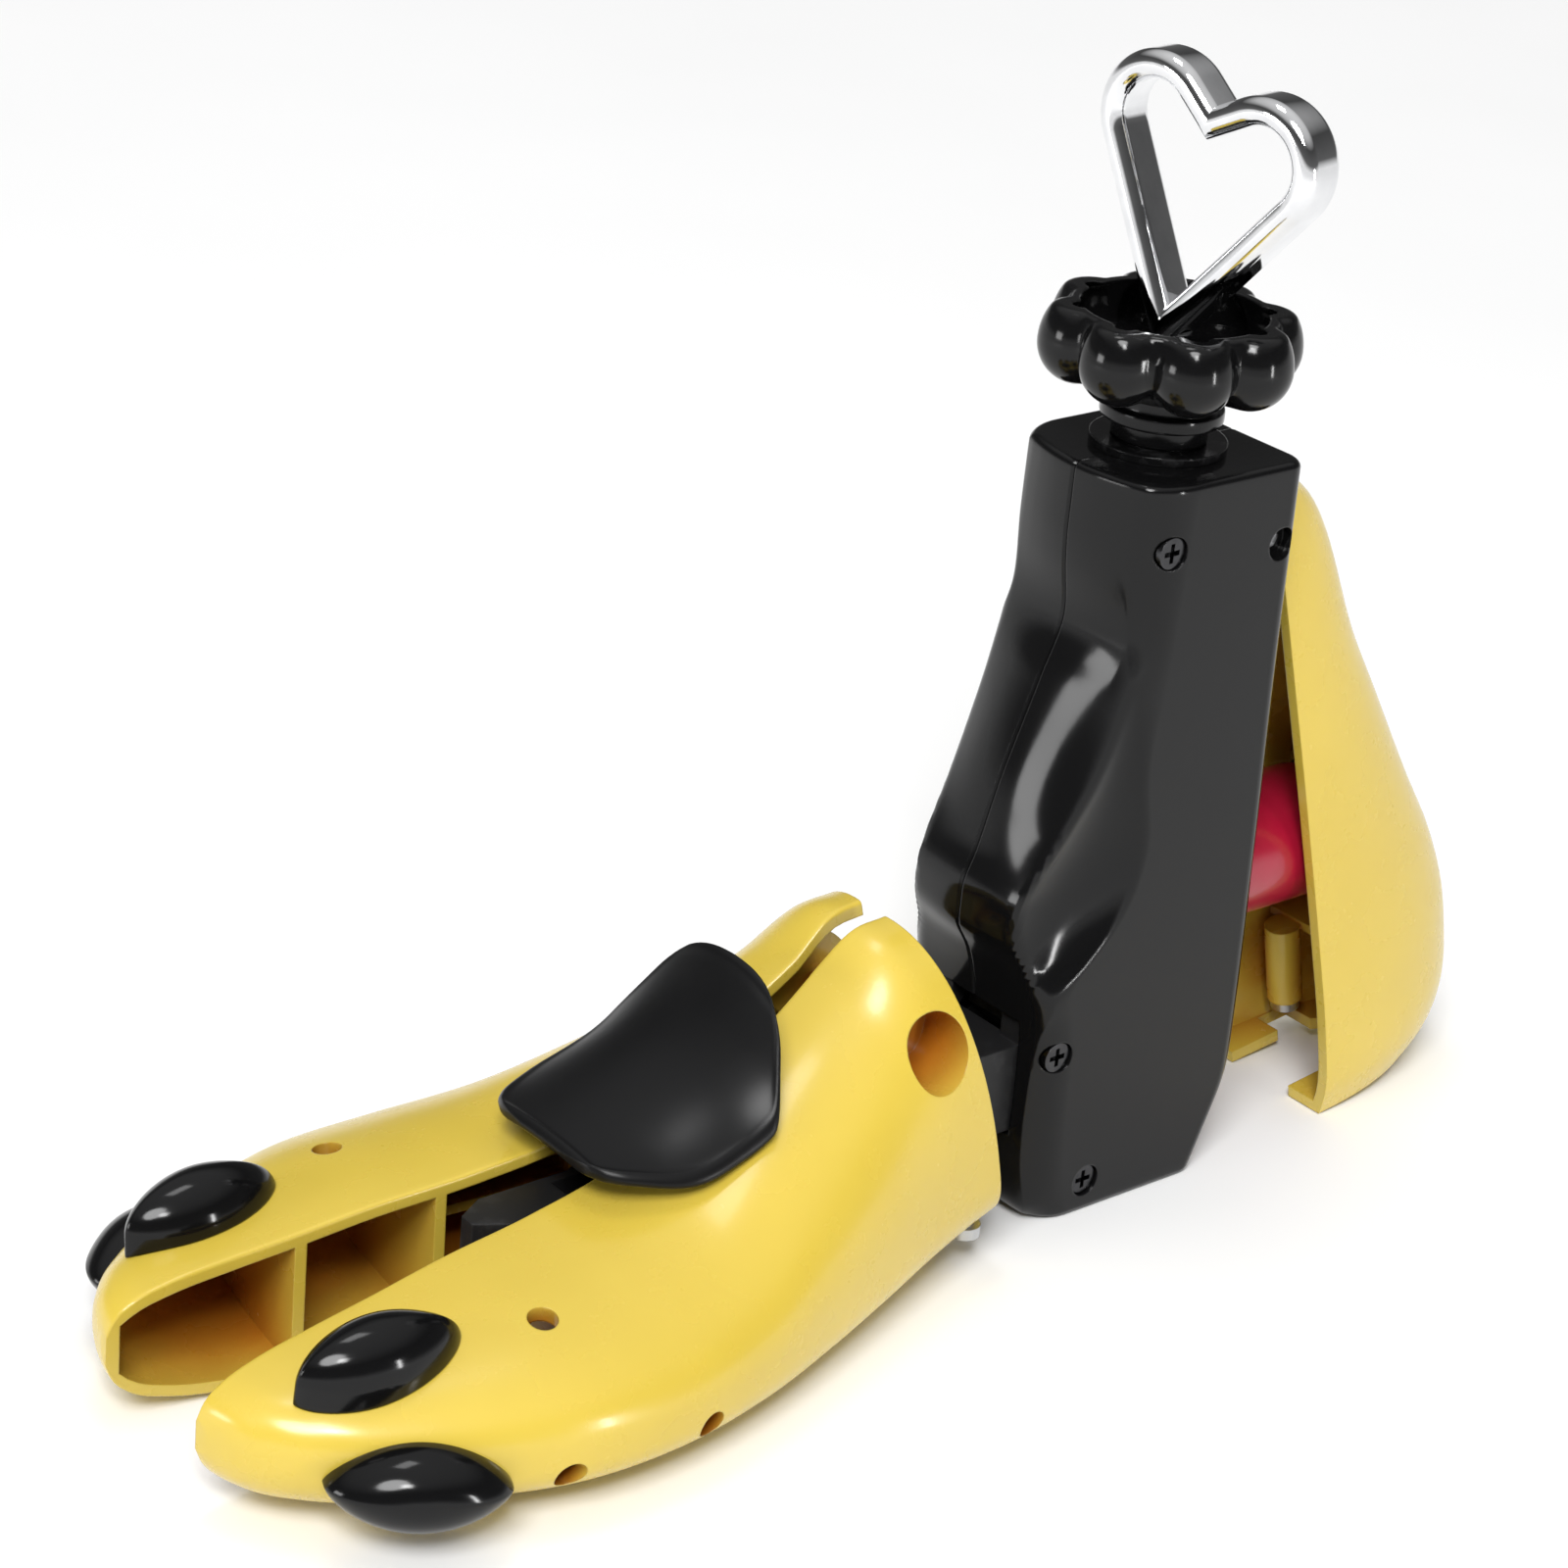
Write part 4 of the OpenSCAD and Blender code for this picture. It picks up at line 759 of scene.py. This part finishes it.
HALF_POSE = (Matrix.Translation((HALF_PIN[0], -HALF_PIN[1], 0))
             @ Matrix.Rotation(math.radians(SPREAD), 4, "Z")
             @ Matrix.Translation((-HALF_PIN[0], HALF_PIN[1], 0)))


def peg_frame(p):
    """Place of a plug's peg: x, y, z, the tilt about X and the turn about Z."""
    return (Matrix.Translation(p[:3]) @ Matrix.Rotation(math.radians(p[4]), 4, "Z")
            @ Matrix.Rotation(math.radians(p[3]), 4, "X"))


def forefoot_fittings():
    """What stands in the half's main bay: rails, cam post, knuckles, finger socket and posts."""
    fittings = [block((BALL_RIB - 2, PAST_SIDE, z), (-75, -WEDGE_BODY - 0.9, z + RAIL_T))
                for z in RAIL_Z]
    fittings += [rod((*CAM, PAST_SOLE), (*CAM, WEDGE_TOP), CAM_R),
                 block((CAM[0] - 1, PAST_SIDE, PAST_SOLE), (CAM[0] + 1, CAM[1], WEDGE_TOP))]
    x, y = HALF_PIN[0], -HALF_PIN[1]
    for z0, z1 in ((PAST_SOLE, FRAME_Z[0] - PART_GAP), (FRAME_Z[1] + PART_GAP, KNUCKLE_TOP)):
        fittings += [rod((x, y, z0), (x, y, z1), KNUCKLE_R),
                     block((x - 1.5, PAST_SIDE, z0), (x + 1.5, y, z1))]
    return fittings + [
        rod((FINGER[0], PAST_SIDE, FINGER[1]), (FINGER[0], -10, FINGER[1]), FINGER_R + 1.6),
        rod((*SPRING_POST, PAST_SOLE), (*SPRING_POST, 10), SPRING_POST_R),
        rod((*HALF_SCREW, PAST_SOLE), (*HALF_SCREW, 14), BOSS_R)]


def forefoot_holes():
    """Finger socket, pin bore, screw hole, room for the pad's lifter and the peg holes."""
    x, y = HALF_PIN[0], -HALF_PIN[1]
    holes = [rod((FINGER[0], PAST_SIDE, FINGER[1]), (FINGER[0], FINGER_FLOOR, FINGER[1]),
                 FINGER_R, sides=96),
             rod((x, y, 2), (x, y, KNUCKLE_TOP + OVER), PIN_R + RUN_GAP),
             rod((*HALF_SCREW, -OVER), (*HALF_SCREW, 7.6), SINK_R),
             rod((*HALF_SCREW, 0), (*HALF_SCREW, 13), SCREW_R + SEAT_GAP),
             block((LIFTER_X - 5, -7.2, WEDGE_TOP + 1), (LIFTER_X + 5, OVER, 60)),
             rod((*SPARE_TOP, 15), (*SPARE_TOP, 35), PEG_R)]
    holes += [rod((side_x, -50, SPARE_SIDE_Z), (side_x, -26, SPARE_SIDE_Z), PEG_R)
              for side_x in SPARE_SIDE_X]
    return holes + [rod((0, 0, -PEG_HOLE), (0, 0, 5), PEG_R, peg_frame(peg))
                    for peg in (TOP_PEG, SIDE_PEG)]


def forefoot_half():
    """Near half with its three bays, spread to its place."""
    half = half_solid("near_forefoot_half_skin", 0)
    toe = half_bay(share_at(TOE_RIB - RIB_T / 2), BAY_END, 18)
    ball = half_bay(share_at(BALL_RIB - RIB_T / 2), share_at(TOE_RIB + RIB_T / 2), 16)
    main = half_bay(-0.03, share_at(BALL_RIB + RIB_T / 2), 40)
    combine(main, forefoot_fittings())
    combine(half, [toe, ball, main] + forefoot_holes())
    move_mesh(half, HALF_POSE)
    return half


near_half = forefoot_half()
far_half = mirrored(near_half, "far_forefoot_half_skin")
for shell, node in ((near_half, "near_forefoot_half"), (far_half, "far_forefoot_half")):
    shade(shell, 34)
    dress(shell, node)


# Plugs: pointed oval domes on pegs, hollowed to the half below them
def oval(a):
    """Point of the plug's outline at angle a."""
    x = PLUG_LEN / 2 * cos(a)
    y = PLUG_W / 2 * power(1 - cos(a) ** 2, 0.72)
    return Vector((x, -y if a > 180 else y))


def plug(name, peg, turn):
    """Near plug on a peg, its outline turned about the peg."""
    seat = peg_frame(peg) @ Matrix.Rotation(math.radians(turn), 4, "Z")
    outline = [oval(3.75 * i) for i in range(96)]
    levels = [(1, -PLUG_SKIRT), (1, 0)] + [(math.sqrt(1 - t * t), PLUG_H * t)
                                  for t in (sin(a) for a in spread_out(6, 84, 16))]
    levels.append((0.04, PLUG_H))
    dome = loft(name, [[(p.x * s, p.y * s, z) for p in outline] for s, z in levels], seat)
    combine(dome, [half_solid("tool", -PART_GAP, 24, False)])
    peg_rod = rod((0, 0, -PEG_LEN), (0, 0, 2), PEG_R - RUN_GAP, peg_frame(peg), 48)
    combine(dome, [peg_rod], "UNION")
    move_mesh(dome, HALF_POSE)
    return dome


for kind, peg, turn in (("top", TOP_PEG, -8), ("side", SIDE_PEG, -4)):
    near_plug = plug("near_%s_plug_skin" % kind, peg, turn)
    far_plug = mirrored(near_plug, "far_%s_plug_skin" % kind)
    for piece, side in ((near_plug, "near"), (far_plug, "far")):
        shade(piece, 40)
        dress(piece, "%s_%s_plug" % (side, kind))

# Instep pad: a saddle with a rolled edge
PAD_FRONT, PAD_REAR = -113.4, -77.9
PAD_LINE = [(PAD_FRONT - 4, 28.2), (PAD_FRONT, 28.5), (-101.5, 30.8), (-90, 36.1), (-84, 41.7),
            (PAD_REAR, 50.2), (PAD_REAR + 4, 54.8)]
PAD_DROP = [(PAD_FRONT - 4, 2.2), (PAD_FRONT, 2.4), (-101.5, 5.4), (-92, 7.6), (-84, 11.2),
            (PAD_REAR, 14.4), (PAD_REAR + 4, 16)]
PAD_SIDE = [(0, 0.22), (0.012, 0.42), (0.045, 0.58), (0.09, 0.67), (0.18, 0.77), (0.4, 0.93),
            (0.65, 0.95), (0.8, 0.95), (0.9, 0.77), (0.96, 0.58), (0.99, 0.36), (1, 0.16)]
LIP_IN, LIP_RISE, LIP_WIDTH = 1.1, 0.28, 0.5


def pad_z(x, y):
    """Height of the pad's underside."""
    drop = smooth_curve(PAD_DROP, x)
    r = ((PAD_W / 2) ** 2 + drop * drop) / (2 * drop)
    return smooth_curve(PAD_LINE, x) - r + math.sqrt(r * r - y * y) + PAD_RISE


def instep_pad():
    """Top and bottom sheets over the pad's plan, joined by a rounded edge with a raised lip."""
    across, along = 48, 72
    edge = PAD_T / 2
    plan = []
    for u in eased(along):
        x = PAD_FRONT + (PAD_REAR - PAD_FRONT) * u
        plan.append((u, x, smooth_curve(PAD_SIDE, u) * PAD_W / 2))

    def rim_distance(u, v, half_width):
        return min((1 - abs(v)) * half_width, u * (PAD_REAR - PAD_FRONT),
                   (1 - u) * (PAD_REAR - PAD_FRONT))

    def height(u, v, half_width, side):
        inset = rim_distance(u, v, half_width)
        roll = 1 - math.sqrt(max(0, 1 - max(0, 1 - inset / edge) ** 2))
        rise = LIP_RISE * math.exp(-((inset - LIP_IN) / LIP_WIDTH) ** 2) if side > 0 else 0
        return side * edge * (1 - roll) + edge + rise

    rings = []
    for u, x, s in plan:
        vs = [math.sin(math.pi / 2 * v) for v in spread_out(-1, 1, across + 1)]
        top = [(x, s * v, pad_z(x, s * v) + height(u, v, s, 1)) for v in vs[::-1]]
        low = [(x, s * v, pad_z(x, s * v) + height(u, v, s, -1)) for v in vs[1:-1]]
        rings.append(top + low)
    return loft("instep_pad_skin", rings)


pad = shade(instep_pad(), 60)
dress(pad, "instep_pad")

# Heel shell, made in its own frame: depth behind the rim, y, and minus the way down the rim
RIM_TOP = (19.6, COL_H - 10.5)
HEEL_BACK = [(0, 0.22), (0.04, 0.31), (0.085, 0.37), (0.28, 0.51), (0.40, 0.63), (0.56, 0.79),
             (0.69, 0.93), (0.78, 0.99), (0.86, 1), (0.93, 0.965), (0.975, 0.87), (1, 0.76)]
HEEL_SIDE = [(0, 0.5), (0.05, 0.56), (0.28, 0.72), (0.5, 0.85), (0.7, 0.95), (0.85, 1),
             (0.95, 0.97), (1, 0.86)]
HEEL_DROP = [(0, 0), (0.6, 0), (0.85, 0.04), (1, 0.12)]
PUSH_PLATE = (0.44 * HEEL_LEN, 0.72 * HEEL_LEN)
HEEL_SHELF = (0.815 * HEEL_LEN, 0.83 * HEEL_LEN)
HEEL_SQUARE, HEEL_CAP, HEEL_FLOOR = 0.86, 2.4, 2.2
HEEL_SCREW, SCREW_POCKET = (15, 8.6), 3.6
PUSH_RING_OUT, PUSH_RING_IN, PUSH_RING_DROP = 13.6, 12.2, 2.6
NOTCH_R, NOTCH_DEPTH = 7, 15


def heel_ring(q, t, front):
    """Ring of the heel at share q of its length, set in by t, open at depth front."""
    d = smooth_curve(HEEL_BACK, q) * HEEL_DEPTH - t
    w = smooth_curve(HEEL_SIDE, q) * HEEL_HALF_W - t
    v, k = q * HEEL_LEN, smooth_curve(HEEL_DROP, q)
    ring = [(front, w, -v - k * front)]
    for a in spread_out(4, 176, 44):
        u = d * power(sin(a), HEEL_SQUARE)
        y = w * math.copysign(power(abs(cos(a)), HEEL_SQUARE), cos(a))
        ring.append((max(u, front), y, -v - k * u))
    return ring + [(front, -w, -v - k * front)]


def heel_shell():
    """Hollow heel with the plunger's plate and ring, two ears, a foot notch and a screw boss."""
    pose = (Matrix.Translation((RIM_TOP[0], 0, RIM_TOP[1]))
            @ Matrix.Rotation(math.radians(-HEEL_REST), 4, "Y"))
    lift = RIM_TOP[1] - PLUNGER_Z
    nose = PLUNGER_BASE + PLUNGER_LEN - PLUNGER_R - RIM_TOP[0]
    plate = nose * cos(HEEL_REST) - lift * sin(HEEL_REST) + PLUNGER_R + PART_GAP
    dx, dz = HEEL_PIN[0] - RIM_TOP[0], HEEL_PIN[1] - RIM_TOP[1]
    pin_u = dx * cos(HEEL_REST) + dz * sin(HEEL_REST)
    pin_v = dx * sin(HEEL_REST) - dz * cos(HEEL_REST)
    touch_v = nose * sin(HEEL_REST) + lift * cos(HEEL_REST)
    shell = loft("heel_shell_skin", [heel_ring(q, 0, 0) for q in
                                     spread_out(0, 0.9, 70)[:-1] + spread_out(0.9, 1, 20)])
    room = loft("tool", [heel_ring(v / HEEL_LEN, HEEL_WALL, -OVER)
                         for v in spread_out(HEEL_CAP, HEEL_LEN - HEEL_FLOOR, 51)])
    ring_z = -touch_v - PUSH_RING_DROP
    collar = rod((plate - 1.2, 0, ring_z), (plate + OVER, 0, ring_z), PUSH_RING_OUT)
    combine(collar, [rod((plate - 2, 0, ring_z), (plate + 2 * OVER, 0, ring_z), PUSH_RING_IN)])
    combine(room, [block((plate, -20, -PUSH_PLATE[1]), (plate + 2, 20, -PUSH_PLATE[0])),
                   block((plate - 4, -20, -HEEL_SHELF[1]), (60, 20, -HEEL_SHELF[0])),
                   collar,
                   rod((*HEEL_SCREW, -HEEL_LEN - 2), (*HEEL_SCREW, -0.82 * HEEL_LEN), BOSS_R)])
    combine(shell, [room])
    for side in (-1, 1):
        y0, y1 = sorted((side * EAR_OUT, side * EAR_IN))
        ear = rod((pin_u, y0, -pin_v), (pin_u, y1, -pin_v), EAR_R)
        combine(ear, [block((pin_u, y0, -pin_v - 3), (1.2, y1, -pin_v + 1.4))], "UNION")
        combine(shell, [ear], "UNION")
    holes = [rod((pin_u, -12, -pin_v), (pin_u, 12, -pin_v), HEEL_PIN_R + RUN_GAP),
             block((-OVER, -NOTCH_R, -HEEL_LEN - 8), (NOTCH_DEPTH, NOTCH_R, -HEEL_LEN + 5)),
             rod((NOTCH_DEPTH, 0, -HEEL_LEN - 8), (NOTCH_DEPTH, 0, -HEEL_LEN + 5), NOTCH_R),
             block((HEEL_SCREW[0] - SCREW_POCKET, HEEL_SCREW[1] - SCREW_POCKET, -HEEL_LEN - 8),
                   (HEEL_SCREW[0] + SCREW_POCKET, HEEL_SCREW[1] + SCREW_POCKET, -HEEL_LEN + 6)),
             rod((*HEEL_SCREW, -HEEL_LEN), (*HEEL_SCREW, -HEEL_LEN + 16), SCREW_R + SEAT_GAP)]
    combine(shell, holes)
    move_mesh(shell, pose)
    return shell


heel = shade(heel_shell(), 34)
dress(heel, "heel_shell")

# CAD nodes that stay only take their finish
screw_black = dark_screw_steel()
for node, piece in frame["nodes"].items():
    if node in replaced:
        continue
    finish = screw_black if node in DARK_SCREWS else MATERIALS[SLOT_OF[node]]
    for index in range(len(piece.material_slots)):
        piece.material_slots[index].material = finish

# Floor, light and camera
CAMERA_AZ, CAMERA_EL, CAMERA_ROLL = -41.35, 24.59, 5.39
CAMERA_TARGET, CAMERA_FAR = Vector((-71.33, 0, 84.75)), 609.4
FOCAL_SHARE = 4107.54 / 1600
SENSOR = 36
FLOOR_HALF, FLOOR_Z = 12000, -0.05
DAY_STRENGTH, DAY_SPREAD, DAY_WAY = 2.2, 25, Vector((0.5, 0.42, -0.76))


def floor_material():
    """Even pale matt floor, which shows the object's shadow."""
    made, tree, shader = material("studio_floor", (0.92, 0.92, 0.92), 1.0)
    shader.inputs["Specular IOR Level"].default_value = 0
    tone = mixed(tree, noise(tree, 6, 2), (0.90, 0.90, 0.90), (0.94, 0.94, 0.94))
    tree.links.new(tone, shader.inputs["Base Color"])
    return made


def studio_floor():
    """Wide floor just under the part."""
    ring = [(-FLOOR_HALF, -FLOOR_HALF), (FLOOR_HALF, -FLOOR_HALF), (FLOOR_HALF, FLOOR_HALF),
            (-FLOOR_HALF, FLOOR_HALF)]
    floor = make("studio_floor", [(x, y, FLOOR_Z) for x, y in ring], [(0, 1, 2, 3)])
    floor.data.materials.append(floor_material())


def area_light(name, place_at, size, power_w, target):
    """Rectangular softbox that faces its target."""
    light = bpy.data.lights.new(name, "AREA")
    light.shape = "RECTANGLE"
    light.size, light.size_y = size[0] * MM, size[1] * MM
    light.energy = power_w
    lamp = bpy.data.objects.new(name, light)
    bpy.context.scene.collection.objects.link(lamp)
    here, there = Vector(place_at) * MM, Vector(target) * MM
    lamp.location = here
    lamp.rotation_euler = (there - here).to_track_quat("-Z", "Y").to_euler()


# Brightness of the room by height: floor level, dark walls, pale ceiling (place 0 is straight down)
ROOM_LEVELS = [(0.0, 0.80), (0.50, 0.80), (0.56, 0.12), (0.74, 0.06), (0.86, 0.52), (1.0, 0.75)]


def studio_world():
    """Room with dark walls and a pale ceiling, so that gloss and chrome show light and dark."""
    world = bpy.data.worlds.new("studio")
    bpy.context.scene.world = world
    world.use_nodes = True
    tree = world.node_tree
    background = tree.nodes["Background"]
    place_in_room = tree.nodes.new("ShaderNodeTexCoord")
    height = tree.nodes.new("ShaderNodeSeparateXYZ")
    tree.links.new(place_in_room.outputs["Generated"], height.inputs["Vector"])
    ramp = tree.nodes.new("ShaderNodeValToRGB")
    keys = ramp.color_ramp.elements
    while len(keys) < len(ROOM_LEVELS):
        keys.new(0.5)
    for key, (level, grey) in zip(keys, ROOM_LEVELS):
        key.position = level
        key.color = (grey, grey, grey, 1)
    tree.links.new(mapped(tree, height.outputs["Z"], 0, 1, -1, 1), ramp.inputs["Fac"])
    tree.links.new(ramp.outputs["Color"], background.inputs["Color"])


def daylight():
    """Soft light from one far source, which also keeps the floor evenly white."""
    light = bpy.data.lights.new("daylight", "SUN")
    light.energy = DAY_STRENGTH
    light.angle = math.radians(DAY_SPREAD)
    lamp = bpy.data.objects.new("daylight", light)
    bpy.context.scene.collection.objects.link(lamp)
    lamp.rotation_euler = DAY_WAY.to_track_quat("-Z", "Y").to_euler()


def studio_camera():
    """Camera at the photo's angle, given by azimuth, elevation and roll about its target."""
    az, el = CAMERA_AZ, CAMERA_EL
    back = Vector((sin(az) * cos(el), -cos(az) * cos(el), sin(el)))
    right = Vector((cos(az), sin(az), 0))
    up = back.cross(right)
    roll = Matrix.Rotation(math.radians(CAMERA_ROLL), 3, "Z")
    turn = Matrix((right, up, back)).transposed() @ roll
    lens = bpy.data.cameras.new("camera")
    lens.sensor_width = SENSOR
    lens.lens = SENSOR * FOCAL_SHARE
    lens.clip_start, lens.clip_end = 0.01, 20
    camera = bpy.data.objects.new("camera", lens)
    bpy.context.scene.collection.objects.link(camera)
    camera.matrix_world = Matrix.Translation((CAMERA_TARGET + back * CAMERA_FAR) * MM) @ turn.to_4x4()
    bpy.context.scene.camera = camera


# Softboxes: name, place, size, watts and target. The last two show in the column's facets
SOFTBOXES = [
    ("key", (-560, -640, 760), (150, 150), 2.0, (-60, 0, 60)),
    ("overhead", (-100, 120, 1000), (300, 180), 1.0, (-60, 0, 60)),
    ("nose_glow", (-970, 250, 215), (300, 180), 1.6, (-24, 0, 78)),
    ("edge_streak", (196, -887, 115), (50, 260), 1.6, (-22, -13, 52)),
]
studio_floor()
studio_world()
studio_camera()
daylight()
for softbox in SOFTBOXES:
    area_light(*softbox)
bpy.context.scene.view_settings.view_transform = "Standard"
